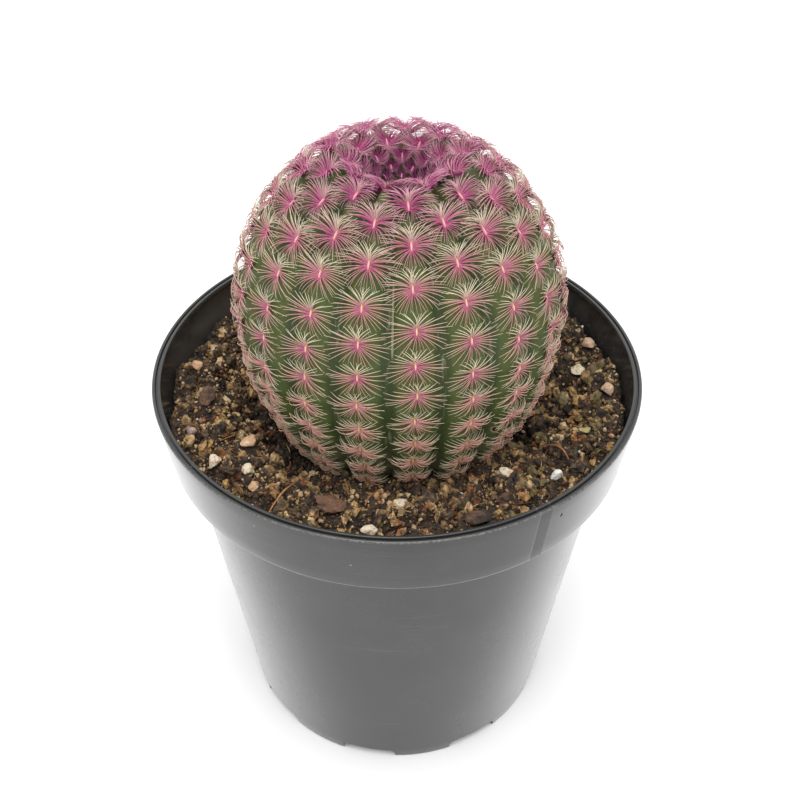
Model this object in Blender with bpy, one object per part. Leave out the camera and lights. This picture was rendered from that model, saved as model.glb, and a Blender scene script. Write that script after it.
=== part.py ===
"""Round ribbed cactus growing in a round plastic nursery pot.

One object per piece: the moulded pot, the soil that fills it, the ribbed stem, one comb of
spines along each rib, the brush of young spines in the crown, and the grit, bark and root
fibres that lie on the soil. Metres, +Z up, the pot's foot on z = 0, the pot's axis on Z.
Azimuth 0 faces the front, which is -Y, and grows towards +X.
"""

import math
import random

import bmesh
import bpy
from mathutils import Matrix, Vector
from mathutils.bvhtree import BVHTree

# Clearance between pieces that touch.
GAP = 0.0003

# Pot: a tapered wall that steps out into a wider band under the lip.
POT_HEIGHT = 0.0948
POT_RIM_RADIUS = 0.0525
POT_FOOT_RADIUS = 0.0382
POT_WALL = 0.0012
POT_STEPS = 64
BAND_HEIGHT = 0.0153
BAND_DRAFT = 0.0019
BAND_STEP_IN = 0.0036
LIP_WIDTH = 0.0019
LIP_HEIGHT = 0.0012
EDGE_ROUND = 0.0004
BAND_STRIP_WIDTH = 0.0030
BAND_STRIP_DEPTH = 0.0003
BAND_STRIP_AZIMUTH = 32.0

# Pot foot: a raised floor inside a ring of legs with a notch between each two.
FLOOR_RISE = 0.0034
FLOOR_THICKNESS = 0.0014
FOOT_RING_WIDTH = 0.0016
NOTCH_COUNT = 9
NOTCH_ROOF = 0.0006
NOTCH_AZIMUTH = -10.4
NOTCH_ARC = 19.6
DRAIN_HOLE_RADIUS = 0.0030
DRAIN_RING_RADIUS = 0.0260
DRAIN_HOLE_STEPS = 12

# Soil: highest against the wall, lower round the stem, with two hollows beside it.
SOIL_BELOW_RIM = 0.0075
SOIL_DIP_AT_STEM = 0.0030
SOIL_BUMP = 0.0006
SOIL_TOP_RINGS = 6
HOLLOW_AZIMUTHS = (-72.0, 84.0)
HOLLOW_DEPTH = 0.0018
HOLLOW_ARC = 32.0

# Stem: a globe a little taller than wide, ribbed, with a sunken crown and a tapering base.
STEM_RADIUS = 0.0320
STEM_UPPER_HEIGHT = 0.0332
STEM_LOWER_HEIGHT = 0.0450
STEM_MIDDLE_OVER_SOIL = 0.0254
STEM_UPPER_ROUNDNESS = 1.95
STEM_LOWER_ROUNDNESS = 2.00
STEM_OFFSET = Vector((0.0005, -0.0015, 0.0))
CROWN_DEPTH = 0.0090
CROWN_HOLLOW_RADIUS = 0.0095
RIB_COUNT = 19
RIB_DEPTH = 0.0014
RIB_FADE_RADIUS = 0.0100
FRONT_RIB_AZIMUTH = 5.3
STEPS_PER_RIB = 4
BURIED_RINGS = 5
OPEN_RINGS = 14

# Spines: flat combs that overlap into one row along each rib.
AREOLE_PITCH = 0.0070
ROW_LIFT = 0.0005
ROW_THICKNESS = 0.0020
ROW_VALLEY_THICKNESS = 0.0010
ROW_WIDTH_AT_AREOLE = 0.40
ROW_WIDTH_BETWEEN = 0.24
ROW_OVER_SOIL = 0.0006
ROW_FOOT_TRIES = 200
CROWN_LIP_RADIUS = 0.0130
BRUSH_FOOT_RADIUS = 0.0034
BRUSH_HEAD_RADIUS = 0.0062
BRUSH_HEIGHT = 0.0042
BRUSH_LIFT = 0.0008

# Loose pieces on the soil: azimuth, place from plant (0) to wall (1), length, width, height.
GRIT = (
    (1.0, 0.10, 0.0040, 0.0034, 0.0022),
    (39.0, 0.06, 0.0040, 0.0034, 0.0024),
    (-7.0, 0.72, 0.0038, 0.0026, 0.0022),
    (-62.0, 0.05, 0.0042, 0.0034, 0.0022),
    (-56.0, 0.76, 0.0034, 0.0030, 0.0022),
    (-49.0, 0.42, 0.0036, 0.0030, 0.0024),
    (-42.0, 0.62, 0.0030, 0.0026, 0.0020),
    (-70.0, 0.88, 0.0032, 0.0028, 0.0020),
    (49.0, 0.62, 0.0032, 0.0028, 0.0020),
    (69.0, 0.60, 0.0030, 0.0026, 0.0020),
    (88.0, 0.92, 0.0036, 0.0032, 0.0024),
    (98.0, 0.52, 0.0040, 0.0032, 0.0024),
    (108.0, 0.94, 0.0038, 0.0032, 0.0022),
    (-98.0, 0.84, 0.0032, 0.0028, 0.0020),
    (146.0, 0.55, 0.0036, 0.0030, 0.0022),
    (-150.0, 0.70, 0.0034, 0.0030, 0.0022),
)
BARK = (
    (-19.0, 0.22, 0.0090, 0.0040, 0.0024),
    (21.0, 0.78, 0.0085, 0.0030, 0.0020),
    (31.0, 0.50, 0.0050, 0.0036, 0.0024),
    (-84.0, 0.55, 0.0070, 0.0040, 0.0022),
    (178.0, 0.50, 0.0080, 0.0034, 0.0022),
)

# Root fibres: azimuth, place from plant to wall, length, heading, height of the arch.
FIBRES = (
    (-34.0, 0.55, 0.0100, 60.0, 0.0008),
    (58.0, 0.30, 0.0085, -20.0, 0.0012),
    (124.0, 0.60, 0.0090, 30.0, 0.0008),
)
FIBRE_RADIUS = 0.0004
FIBRE_POINTS = 6
FIBRE_SIDES = 6

floor_top = FLOOR_RISE + FLOOR_THICKNESS
band_foot_height = POT_HEIGHT - BAND_HEIGHT
band_foot_radius = POT_RIM_RADIUS - BAND_DRAFT
wall_top_radius = band_foot_radius - BAND_STEP_IN
ledge_top = band_foot_height + POT_WALL
soil_level = POT_HEIGHT - SOIL_BELOW_RIM
soil_level_at_stem = soil_level - SOIL_DIP_AT_STEM
stem_middle = soil_level + STEM_MIDDLE_OVER_SOIL


def clear_scene():
    """Remove whatever the file opened with."""
    for item in list(bpy.data.objects):
        bpy.data.objects.remove(item, do_unlink=True)


def make_material(name, colour, roughness):
    """A plain Principled finish: colour and roughness only."""
    material = bpy.data.materials.new(name)
    material.use_nodes = True
    shader = material.node_tree.nodes["Principled BSDF"]
    shader.inputs["Base Color"].default_value = (*colour, 1.0)
    shader.inputs["Roughness"].default_value = roughness
    shader.inputs["Metallic"].default_value = 0.0
    return material


def add_object(name, bm, material, sharp_angle=40.0):
    """Turn a bmesh into a named object, smooth except across sharp edges."""
    mesh = bpy.data.meshes.new(name)
    bm.to_mesh(mesh)
    bm.free()
    mesh.materials.append(material)
    mesh.shade_smooth()
    mesh.set_sharp_from_angle(angle=math.radians(sharp_angle))
    item = bpy.data.objects.new(name, mesh)
    bpy.context.scene.collection.objects.link(item)
    return item


def on_circle(radius, azimuth, height):
    """The point at a radius and an azimuth in radians about the pot's axis."""
    return Vector((radius * math.sin(azimuth), -radius * math.cos(azimuth), height))


def skin_rings(rings, first_pole=None, last_pole=None):
    """Close a stack of rings, all with as many points, by fans to poles or by flat caps."""
    bm = bmesh.new()
    loops = [[bm.verts.new(point) for point in ring] for ring in rings]
    count = len(loops[0])
    for lower, upper in zip(loops, loops[1:]):
        for here in range(count):
            there = (here + 1) % count
            bm.faces.new((lower[here], lower[there], upper[there], upper[here]))
    if first_pole is None:
        bm.faces.new(list(reversed(loops[0])))
    else:
        pole = bm.verts.new(first_pole)
        for here in range(count):
            bm.faces.new((pole, loops[0][(here + 1) % count], loops[0][here]))
    if last_pole is None:
        bm.faces.new(loops[-1])
    else:
        pole = bm.verts.new(last_pole)
        for here in range(count):
            bm.faces.new((pole, loops[-1][here], loops[-1][(here + 1) % count]))
    return bm


def turned(outline, steps):
    """Turn an outline, which starts and ends on the axis, into a closed solid."""
    turn = 2.0 * math.pi / steps
    rings = [[on_circle(radius, step * turn, height) for step in range(steps)]
             for radius, height in outline[1:-1]]
    return skin_rings(rings, (0.0, 0.0, outline[0][1]), (0.0, 0.0, outline[-1][1]))


def cut(target, cutter):
    """Cut one object's solid out of another, and keep the cutter as a hidden guide."""
    cutter.hide_render = True
    cutter.display_type = "WIRE"
    modifier = target.modifiers.new(cutter.name, "BOOLEAN")
    modifier.operation = "DIFFERENCE"
    modifier.solver = "EXACT"
    modifier.object = cutter


# ---------------------------------------------------------------- pot

def wall_radius_at(height):
    """Outer radius of the pot's tapered wall, under the band."""
    share = height / band_foot_height
    return POT_FOOT_RADIUS + share * (wall_top_radius - POT_FOOT_RADIUS)


def band_radius_at(height):
    """Outer radius of the band under the lip."""
    share = (height - band_foot_height) / BAND_HEIGHT
    return band_foot_radius + share * BAND_DRAFT


def pot_outline():
    """Half section: under the floor, out, up the outside, over the lip, down the inside."""
    lip_foot = POT_HEIGHT - LIP_HEIGHT
    lip_inner = POT_RIM_RADIUS - LIP_WIDTH
    foot_inner = POT_FOOT_RADIUS - FOOT_RING_WIDTH
    return [
        (0.0, FLOOR_RISE),
        (foot_inner, FLOOR_RISE),
        (foot_inner, 0.0),
        (wall_radius_at(0.0) - EDGE_ROUND, 0.0),
        (wall_radius_at(EDGE_ROUND), EDGE_ROUND),
        (wall_radius_at(floor_top), floor_top),
        (wall_radius_at(band_foot_height), band_foot_height),
        (band_foot_radius - EDGE_ROUND, band_foot_height),
        (band_radius_at(band_foot_height + EDGE_ROUND), band_foot_height + EDGE_ROUND),
        (POT_RIM_RADIUS, POT_HEIGHT - EDGE_ROUND),
        (POT_RIM_RADIUS - EDGE_ROUND, POT_HEIGHT),
        (lip_inner + EDGE_ROUND, POT_HEIGHT),
        (lip_inner, POT_HEIGHT - EDGE_ROUND),
        (lip_inner, lip_foot),
        (band_radius_at(lip_foot) - POT_WALL, lip_foot - EDGE_ROUND),
        (band_radius_at(ledge_top) - POT_WALL, ledge_top),
        (wall_radius_at(band_foot_height) - POT_WALL, ledge_top),
        (wall_radius_at(floor_top) - POT_WALL, floor_top),
        (0.0, floor_top),
    ]


def notch_cutter():
    """One rounded block for each notch in the foot ring."""
    height = FLOOR_RISE - NOTCH_ROOF
    reach = 4.0 * FOOT_RING_WIDTH
    width = 2.0 * POT_FOOT_RADIUS * math.sin(math.radians(NOTCH_ARC) / 2.0)
    bm = bmesh.new()
    for notch in range(NOTCH_COUNT):
        azimuth = math.radians(NOTCH_AZIMUTH) + notch * 2.0 * math.pi / NOTCH_COUNT
        place = Matrix.Translation(on_circle(POT_FOOT_RADIUS, azimuth, 0.0))
        turn = Matrix.Rotation(azimuth, 4, "Z")
        size = Matrix.Diagonal((width, reach, 2.0 * height, 1.0))
        made = bmesh.ops.create_cube(bm, size=1.0, matrix=place @ turn @ size)
        top = {edge for vert in made["verts"] for edge in vert.link_edges
               if all(end.co.z > 0.0 for end in edge.verts)}
        radial = [edge for edge in top if edge.calc_length() > 0.9 * reach
                  and edge.calc_length() < 1.1 * reach]
        bmesh.ops.bevel(bm, geom=radial, offset=0.5 * height, segments=3, profile=0.5,
                        affect="EDGES")
    return add_object("notch_cutter", bm, pot_finish)


def drain_cutter():
    """Round holes through the floor: one in the middle and one in line with each notch."""
    bm = bmesh.new()
    centres = [Vector((0.0, 0.0, floor_top))]
    for hole in range(NOTCH_COUNT):
        azimuth = math.radians(NOTCH_AZIMUTH) + hole * 2.0 * math.pi / NOTCH_COUNT
        centres.append(on_circle(DRAIN_RING_RADIUS, azimuth, floor_top))
    for centre in centres:
        bmesh.ops.create_cone(bm, cap_ends=True, segments=DRAIN_HOLE_STEPS,
                              radius1=DRAIN_HOLE_RADIUS, radius2=DRAIN_HOLE_RADIUS,
                              depth=4.0 * FLOOR_THICKNESS, matrix=Matrix.Translation(centre))
    return add_object("drain_cutter", bm, pot_finish)


def strip_cutter():
    """A thin slab that sinks a shallow upright strip into the face of the band."""
    azimuth = math.radians(BAND_STRIP_AZIMUTH)
    low = band_foot_height - EDGE_ROUND
    high = POT_HEIGHT - LIP_HEIGHT
    half = BAND_STRIP_WIDTH / 2.0
    bm = bmesh.new()
    inner = []
    outer = []
    for side, height in ((-half, low), (half, low), (half, high), (-half, high)):
        depth = band_radius_at(height) - BAND_STRIP_DEPTH
        for ring, radius in ((inner, depth), (outer, depth + LIP_WIDTH)):
            ring.append(bm.verts.new(on_circle(radius, azimuth, height)
                                     + side * on_circle(1.0, azimuth + math.pi / 2.0, 0.0)))
    bm.faces.new(inner)
    bm.faces.new(list(reversed(outer)))
    for here in range(4):
        there = (here + 1) % 4
        bm.faces.new((inner[there], inner[here], outer[here], outer[there]))
    bmesh.ops.recalc_face_normals(bm, faces=bm.faces[:])
    return add_object("strip_cutter", bm, pot_finish)


def make_pot():
    """The moulded pot, with its foot notches, drain holes and the strip in its band."""
    pot = add_object("nursery_pot", turned(pot_outline(), POT_STEPS), pot_finish)
    cut(pot, notch_cutter())
    cut(pot, drain_cutter())
    cut(pot, strip_cutter())
    return pot


# ---------------------------------------------------------------- stem

def stem_outline(samples=120):
    """Points (radius, height) of the rib crests, from the base's tip to the crown's centre."""
    points = []
    for sample in range(samples + 1):
        angle = -math.pi / 2.0 + math.pi * sample / samples
        power = STEM_LOWER_ROUNDNESS if angle < 0.0 else STEM_UPPER_ROUNDNESS
        radius = STEM_RADIUS * abs(math.cos(angle)) ** (2.0 / power)
        rise = abs(math.sin(angle)) ** (2.0 / power)
        if angle < 0.0:
            height = stem_middle - STEM_LOWER_HEIGHT * rise
        else:
            sink = CROWN_DEPTH * math.exp(-(radius / CROWN_HOLLOW_RADIUS) ** 4)
            height = stem_middle + STEM_UPPER_HEIGHT * rise - sink
        points.append(Vector((radius, height)))
    points[0].x = 0.0
    points[-1].x = 0.0
    return points


def measure(points):
    """Distance along the outline at each of its points."""
    along = [0.0]
    for before, after in zip(points, points[1:]):
        along.append(along[-1] + (after - before).length)
    return along


outline = stem_outline()
outline_arcs = measure(outline)
outline_length = outline_arcs[-1]


def outline_at(arc):
    """Point and outward normal of the stem's outline at a distance along it."""
    index = 1
    while index < len(outline) - 1 and outline_arcs[index] < arc:
        index += 1
    before, after = outline[index - 1], outline[index]
    share = (arc - outline_arcs[index - 1]) / (outline_arcs[index] - outline_arcs[index - 1])
    along = (after - before).normalized()
    return before.lerp(after, share), Vector((along.y, -along.x))


def arc_where(test):
    """The first distance along the outline whose point passes a test."""
    return next(arc for arc, point in zip(outline_arcs, outline) if test(point))


soil_arc = arc_where(lambda point: point.y >= soil_level_at_stem)
lip_arc = arc_where(lambda point: point.y > stem_middle and point.x <= CROWN_LIP_RADIUS)


def stem_point(arc, azimuth, lift=0.0):
    """A point on the ribbed skin, or a height over it along its normal."""
    place, normal = outline_at(arc)
    phase = RIB_COUNT * (azimuth - math.radians(FRONT_RIB_AZIMUTH))
    groove = 0.5 - 0.5 * math.cos(phase)
    fade = min(1.0, place.x / RIB_FADE_RADIUS)
    moved = place + normal * (lift - RIB_DEPTH * groove * fade)
    return on_circle(moved.x, azimuth, moved.y) + STEM_OFFSET


def stem_azimuths():
    """Azimuths of the mesh lines: each crest, each groove and the flanks between them."""
    count = RIB_COUNT * STEPS_PER_RIB
    start = math.radians(FRONT_RIB_AZIMUTH)
    return [start + 2.0 * math.pi * step / count for step in range(count)]


def even_arcs(start, end, count):
    """Distances along the outline in equal steps, with both ends."""
    return [start + (end - start) * step / count for step in range(count + 1)]


def make_stem():
    """The stem: skin rings from the buried tip, over the ribs, into the sunken crown."""
    arcs = even_arcs(0.0, soil_arc, BURIED_RINGS)[1:]
    arcs += even_arcs(soil_arc, outline_length, OPEN_RINGS)[1:-1]
    rings = [[stem_point(arc, azimuth) for azimuth in stem_azimuths()] for arc in arcs]
    base = Vector((0.0, 0.0, outline[0].y)) + STEM_OFFSET
    crown = Vector((0.0, 0.0, outline[-1].y)) + STEM_OFFSET
    return add_object("cactus_stem", skin_rings(rings, base, crown), skin_finish, 80.0)


# ---------------------------------------------------------------- spines

def row_foot_arc():
    """Where the rows start: the first place whose spines stand clear of the soil."""
    wall = band_radius_at(soil_level) - POT_WALL
    stem = outline_at(soil_arc)[0].x
    for arc in even_arcs(soil_arc, lip_arc, ROW_FOOT_TRIES):
        place, normal = outline_at(arc)
        tip = place + normal * (ROW_LIFT + ROW_THICKNESS)
        share = min(1.0, max(0.0, (tip.x - stem) / (wall - stem)))
        if tip.y > soil_base(share) + SOIL_BUMP + ROW_OVER_SOIL:
            return arc
    return lip_arc


def make_spine_row(number, first):
    """One comb of spines along a rib: a ribbon that swells at each areole."""
    azimuth = math.radians(FRONT_RIB_AZIMUTH) + 2.0 * math.pi * number / RIB_COUNT
    pitch_angle = 2.0 * math.pi / RIB_COUNT
    halves = round(2.0 * (lip_arc - first) / AREOLE_PITCH)
    sections = []
    for half, arc in enumerate(even_arcs(first, lip_arc, halves)):
        at_areole = (half + number) % 2 == 0
        width = ROW_WIDTH_AT_AREOLE if at_areole else ROW_WIDTH_BETWEEN
        thickness = ROW_THICKNESS if at_areole else ROW_VALLEY_THICKNESS
        spread = width * pitch_angle
        edge_lift = ROW_LIFT + 0.3 * thickness
        sections.append([
            stem_point(arc, azimuth - spread, edge_lift),
            stem_point(arc, azimuth, ROW_LIFT),
            stem_point(arc, azimuth + spread, edge_lift),
            stem_point(arc, azimuth, ROW_LIFT + thickness),
        ])
    bm = skin_rings(sections)
    bmesh.ops.recalc_face_normals(bm, faces=bm.faces[:])
    return add_object(f"spine_row_{number + 1:02d}", bm, spine_finish, 60.0)


def make_crown_brush():
    """The brush of young spines that stands in the sunken crown."""
    floor = outline[-1].y + BRUSH_LIFT
    shape = [(0.0, floor), (BRUSH_FOOT_RADIUS, floor),
             (BRUSH_HEAD_RADIUS, floor + BRUSH_HEIGHT),
             (0.5 * BRUSH_HEAD_RADIUS, floor + 0.8 * BRUSH_HEIGHT),
             (0.0, floor + 0.7 * BRUSH_HEIGHT)]
    bm = turned(shape, RIB_COUNT)
    bmesh.ops.translate(bm, verts=bm.verts[:], vec=STEM_OFFSET)
    return add_object("crown_spines", bm, spine_finish)


# ---------------------------------------------------------------- soil

def soil_base(share):
    """Height of the smooth soil surface, which rises from the stem to the wall."""
    return soil_level_at_stem + SOIL_DIP_AT_STEM * math.sin(share * math.pi / 2.0)


def soil_height(azimuth, share):
    """Height of the soil at a share of the way from the stem (0) to the wall (1)."""
    rough = math.sin(3.0 * azimuth + 1.0) + math.sin(7.0 * azimuth + 9.0 * share)
    height = soil_base(share) + SOIL_BUMP * 0.5 * rough * math.sin(share * math.pi)
    for centre in HOLLOW_AZIMUTHS:
        turn = math.remainder(azimuth - math.radians(centre), 2.0 * math.pi)
        near = math.exp(-(turn / math.radians(HOLLOW_ARC)) ** 2)
        height -= HOLLOW_DEPTH * near * math.sin(share * math.pi) * (1.0 - share)
    return height


def make_soil():
    """The soil: it fills the pot to its wall and holds a pocket in the stem's shape."""
    azimuths = stem_azimuths()
    bottom = floor_top + GAP
    ledge = ledge_top + GAP
    sides = [
        (wall_radius_at(bottom) - POT_WALL - GAP, bottom),
        (wall_radius_at(band_foot_height) - POT_WALL - GAP, ledge),
        (band_radius_at(ledge) - POT_WALL - GAP, ledge),
    ]
    rings = [[on_circle(radius, azimuth, height) for azimuth in azimuths]
             for radius, height in sides]
    wall_edge = band_radius_at(soil_level) - POT_WALL - 2.0 * GAP
    for step in range(SOIL_TOP_RINGS, 0, -1):
        share = step / SOIL_TOP_RINGS
        ring = []
        for azimuth in azimuths:
            inner = stem_point(soil_arc, azimuth, GAP)
            place = inner.lerp(on_circle(wall_edge, azimuth, 0.0), share)
            place.z = soil_height(azimuth, share)
            ring.append(place)
        rings.append(ring)
    for arc in reversed(even_arcs(0.0, soil_arc, BURIED_RINGS)[1:]):
        rings.append([stem_point(arc, azimuth, GAP) for azimuth in azimuths])
    pocket = Vector((0.0, 0.0, outline[0].y - GAP)) + STEM_OFFSET
    bm = skin_rings(rings, (0.0, 0.0, bottom), pocket)
    bmesh.ops.triangulate(bm, faces=bm.faces[:])
    surface = BVHTree.FromBMesh(bm)
    return add_object("potting_soil", bm, soil_finish), surface


# ---------------------------------------------------------------- loose pieces on the soil

def plant_reach(height):
    """The furthest that the stem and its spines reach out, up to a height."""
    widest = max(point.x for point in outline if point.y <= height)
    return widest + ROW_LIFT + ROW_THICKNESS + STEM_OFFSET.length


def free_place(azimuth, share, half_size, height):
    """A place on the soil between the plant's reach and the wall, clear of both."""
    inner = plant_reach(soil_level + 2.0 * height) + half_size + GAP
    outer = band_radius_at(soil_level) - POT_WALL - half_size - 4.0 * GAP
    return on_circle(inner + share * (outer - inner), azimuth, 0.0)


def soil_under(surface, place):
    """Height of the soil's surface straight under a place."""
    hit = surface.ray_cast(Vector((place.x, place.y, POT_HEIGHT)), Vector((0.0, 0.0, -1.0)))
    return hit[0].z


def make_lump(name, surface, row, material, seed, corners):
    """A broken lump: the hull of points on a rough oval, set down on the soil."""
    azimuth, share, length, width, height = row
    azimuth = math.radians(azimuth)
    rng = random.Random(seed)
    bm = bmesh.new()
    for corner in range(corners):
        rise = 1.0 - 2.0 * (corner + 0.5) / corners
        around = corner * math.pi * (3.0 - math.sqrt(5.0)) + rng.uniform(-0.3, 0.3)
        flat = math.sqrt(1.0 - rise * rise) ** 0.6
        size = rng.uniform(0.86, 1.0)
        bm.verts.new((0.5 * length * size * flat * math.cos(around),
                      0.5 * width * size * flat * math.sin(around),
                      0.5 * height * size * rise))
    bmesh.ops.convex_hull(bm, input=bm.verts[:])
    place = free_place(azimuth, share, 0.5 * length, height)
    turn = Matrix.Rotation(azimuth + rng.uniform(-0.5, 0.5), 4, "Z")
    bmesh.ops.transform(bm, matrix=Matrix.Translation(place) @ turn, verts=bm.verts[:])
    drop = min(vert.co.z - soil_under(surface, vert.co) for vert in bm.verts)
    bmesh.ops.translate(bm, verts=bm.verts[:], vec=(0.0, 0.0, 1.5 * GAP - drop))
    bmesh.ops.recalc_face_normals(bm, faces=bm.faces[:])
    return add_object(name, bm, material, 30.0)


def make_fibre(name, surface, row):
    """A thin root that lies over the soil in a low arch."""
    azimuth, share, length, heading, arch = row
    start = free_place(math.radians(azimuth), share, 0.5 * length, 2.0 * FIBRE_RADIUS + arch)
    line = on_circle(1.0, math.radians(azimuth + heading), 0.0)
    across = Vector((-line.y, line.x, 0.0))
    rings = []
    for step in range(FIBRE_POINTS):
        share_along = step / (FIBRE_POINTS - 1)
        bow = math.sin(share_along * math.pi)
        place = start + line * length * (share_along - 0.5) + across * 0.12 * length * bow
        clear = FIBRE_RADIUS + 2.0 * GAP + arch * bow
        place.z = soil_under(surface, place) + clear
        ring = []
        for side in range(FIBRE_SIDES):
            angle = 2.0 * math.pi * side / FIBRE_SIDES
            ring.append(place + FIBRE_RADIUS * (across * math.cos(angle)
                                                + Vector((0.0, 0.0, math.sin(angle)))))
        rings.append(ring)
    bm = skin_rings(rings)
    bmesh.ops.recalc_face_normals(bm, faces=bm.faces[:])
    return add_object(name, bm, root_finish)


clear_scene()
pot_finish = make_material("black_plastic", (0.030, 0.031, 0.033), 0.42)
soil_finish = make_material("peat_soil", (0.062, 0.038, 0.022), 0.95)
skin_finish = make_material("green_skin", (0.070, 0.115, 0.040), 0.55)
spine_finish = make_material("pink_spines", (0.560, 0.170, 0.250), 0.60)
grit_finish = make_material("pumice_grit", (0.620, 0.460, 0.280), 0.85)
bark_finish = make_material("bark", (0.110, 0.055, 0.030), 0.90)
root_finish = make_material("root", (0.340, 0.170, 0.080), 0.85)

make_pot()
make_stem()
row_foot = row_foot_arc()
for rib in range(RIB_COUNT):
    make_spine_row(rib, row_foot)
make_crown_brush()
soil, soil_surface = make_soil()
for count, stone in enumerate(GRIT, start=1):
    make_lump(f"grit_stone_{count:02d}", soil_surface, stone, grit_finish, count, 14)
for count, chip in enumerate(BARK, start=1):
    make_lump(f"bark_chip_{count:02d}", soil_surface, chip, bark_finish, 50 + count, 16)
for count, strand in enumerate(FIBRES, start=1):
    make_fibre(f"root_fibre_{count:02d}", soil_surface, strand)
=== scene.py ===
"""Round ribbed cactus in a round plastic nursery pot: the finished look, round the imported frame.

Metres, +Z up, the pot's foot on z = 0 and its axis on Z. Azimuth 0 is the front, -Y, and it
grows towards +X.
"""

import math
import random

import bmesh
import bpy
import numpy as np
from mathutils import Matrix, Vector, noise


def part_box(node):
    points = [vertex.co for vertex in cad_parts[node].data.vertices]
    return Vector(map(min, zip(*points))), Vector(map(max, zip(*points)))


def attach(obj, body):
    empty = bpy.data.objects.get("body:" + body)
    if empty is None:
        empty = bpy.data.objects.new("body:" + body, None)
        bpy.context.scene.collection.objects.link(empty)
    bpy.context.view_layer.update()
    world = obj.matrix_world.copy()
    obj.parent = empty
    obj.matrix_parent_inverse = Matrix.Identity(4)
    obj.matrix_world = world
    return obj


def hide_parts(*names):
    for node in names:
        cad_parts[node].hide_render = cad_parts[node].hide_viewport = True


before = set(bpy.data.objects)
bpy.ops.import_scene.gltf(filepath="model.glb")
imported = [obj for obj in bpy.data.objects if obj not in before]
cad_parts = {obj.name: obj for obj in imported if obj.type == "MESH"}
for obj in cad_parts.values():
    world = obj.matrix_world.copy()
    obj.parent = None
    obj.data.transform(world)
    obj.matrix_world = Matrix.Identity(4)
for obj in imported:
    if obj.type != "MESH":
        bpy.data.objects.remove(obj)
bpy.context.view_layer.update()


# ---------------------------------------------------------------- camera
# The view is from the front and well above, so that the crown, the soil and the pot's foot
# all show. A slightly long lens, a quarter of a metre from the plant.

VIEW_PLACE = (0.0, -0.1762, 0.2345)
VIEW_TILT = math.radians(49.573)
VIEW_LENS = 46.96

view = bpy.data.cameras.new("view")
view.lens = VIEW_LENS
view.clip_start = 0.005
camera = bpy.data.objects.new("view", view)
camera.location = VIEW_PLACE
camera.rotation_euler = (VIEW_TILT, 0.0, 0.0)
bpy.context.scene.collection.objects.link(camera)
bpy.context.scene.camera = camera
bpy.context.scene.view_settings.view_transform = "Standard"


# ---------------------------------------------------------------- floor and light
# A sweep of white paper under the pot, an even white surround, and one wide soft lamp above
# and in front, as in a light tent.

PAPER_SIZE = 6.0
PAPER_DULL = (0.85, 0.85, 0.85, 1.0)
PAPER_BRIGHT = (0.89, 0.89, 0.89, 1.0)
SURROUND_STRENGTH = 1.25
LAMP_PLACE = Vector((-0.02, -0.25, 1.05))
LAMP_TARGET = Vector((0.0, 0.0, 0.08))
LAMP_SIZE = 0.7
LAMP_POWER = 6.5


def put(tree, kind, inputs=None, **settings):
    """Add a node, give it its settings, and link or set its inputs by name or by number."""
    node = tree.nodes.new(kind)
    for name, value in settings.items():
        setattr(node, name, value)
    for key, value in (inputs or {}).items():
        if isinstance(value, bpy.types.NodeSocket):
            tree.links.new(value, node.inputs[key])
        else:
            node.inputs[key].default_value = value
    return node


def mixed(share, first, second):
    """A blend of two colours or colour sockets, by a number socket."""
    return put(share.id_data, "ShaderNodeMix", {0: share, 6: first, 7: second},
               data_type="RGBA").outputs[2]


def new_finish(name, **values):
    """A material, its node tree and its shader, with plain values set on the shader's sockets."""
    material = bpy.data.materials.new(name)
    material.use_nodes = True
    shader = material.node_tree.nodes["Principled BSDF"]
    for label, value in values.items():
        shader.inputs[label.replace("_", " ")].default_value = value
    return material, material.node_tree, shader


def painted(shader, **sockets):
    """Link sockets into a shader's inputs, each by its input's name."""
    for label, socket in sockets.items():
        shader.id_data.links.new(socket, shader.inputs[label.replace("_", " ")])


def add_piece(name, mesh):
    """Put a mesh into the scene as an object at the origin."""
    item = bpy.data.objects.new(name, mesh)
    bpy.context.scene.collection.objects.link(item)
    return item


paper_finish, paper, paper_shader = new_finish("white_paper", Roughness=0.9)
pulp = put(paper, "ShaderNodeTexNoise", {"Scale": 90.0, "Detail": 3.0}).outputs["Fac"]
painted(paper_shader, Base_Color=mixed(pulp, PAPER_DULL, PAPER_BRIGHT))
sweep = bmesh.new()
bmesh.ops.create_grid(sweep, x_segments=2, y_segments=2, size=PAPER_SIZE / 2.0)
paper_mesh = bpy.data.meshes.new("paper_sweep")
sweep.to_mesh(paper_mesh)
sweep.free()
paper_mesh.materials.append(paper_finish)
add_piece("paper_sweep", paper_mesh)

surround = bpy.data.worlds.new("white_surround")
surround.use_nodes = True
surround.node_tree.nodes["Background"].inputs["Color"].default_value = (1.0, 1.0, 1.0, 1.0)
surround.node_tree.nodes["Background"].inputs["Strength"].default_value = SURROUND_STRENGTH
bpy.context.scene.world = surround

soft_lamp = bpy.data.lights.new("soft_lamp", "AREA")
soft_lamp.size = LAMP_SIZE
soft_lamp.energy = LAMP_POWER
lamp = bpy.data.objects.new("soft_lamp", soft_lamp)
lamp.location = LAMP_PLACE
lamp.rotation_euler = (LAMP_TARGET - LAMP_PLACE).to_track_quat("-Z", "Y").to_euler()
bpy.context.scene.collection.objects.link(lamp)


# ---------------------------------------------------------------- nursery pot
# A thin pot injection-moulded in black polypropylene: a tapered wall, a wider band under a
# grooved lip, a shallow strip and a pin mark in the band, and a foot ring of legs and notches.

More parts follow.
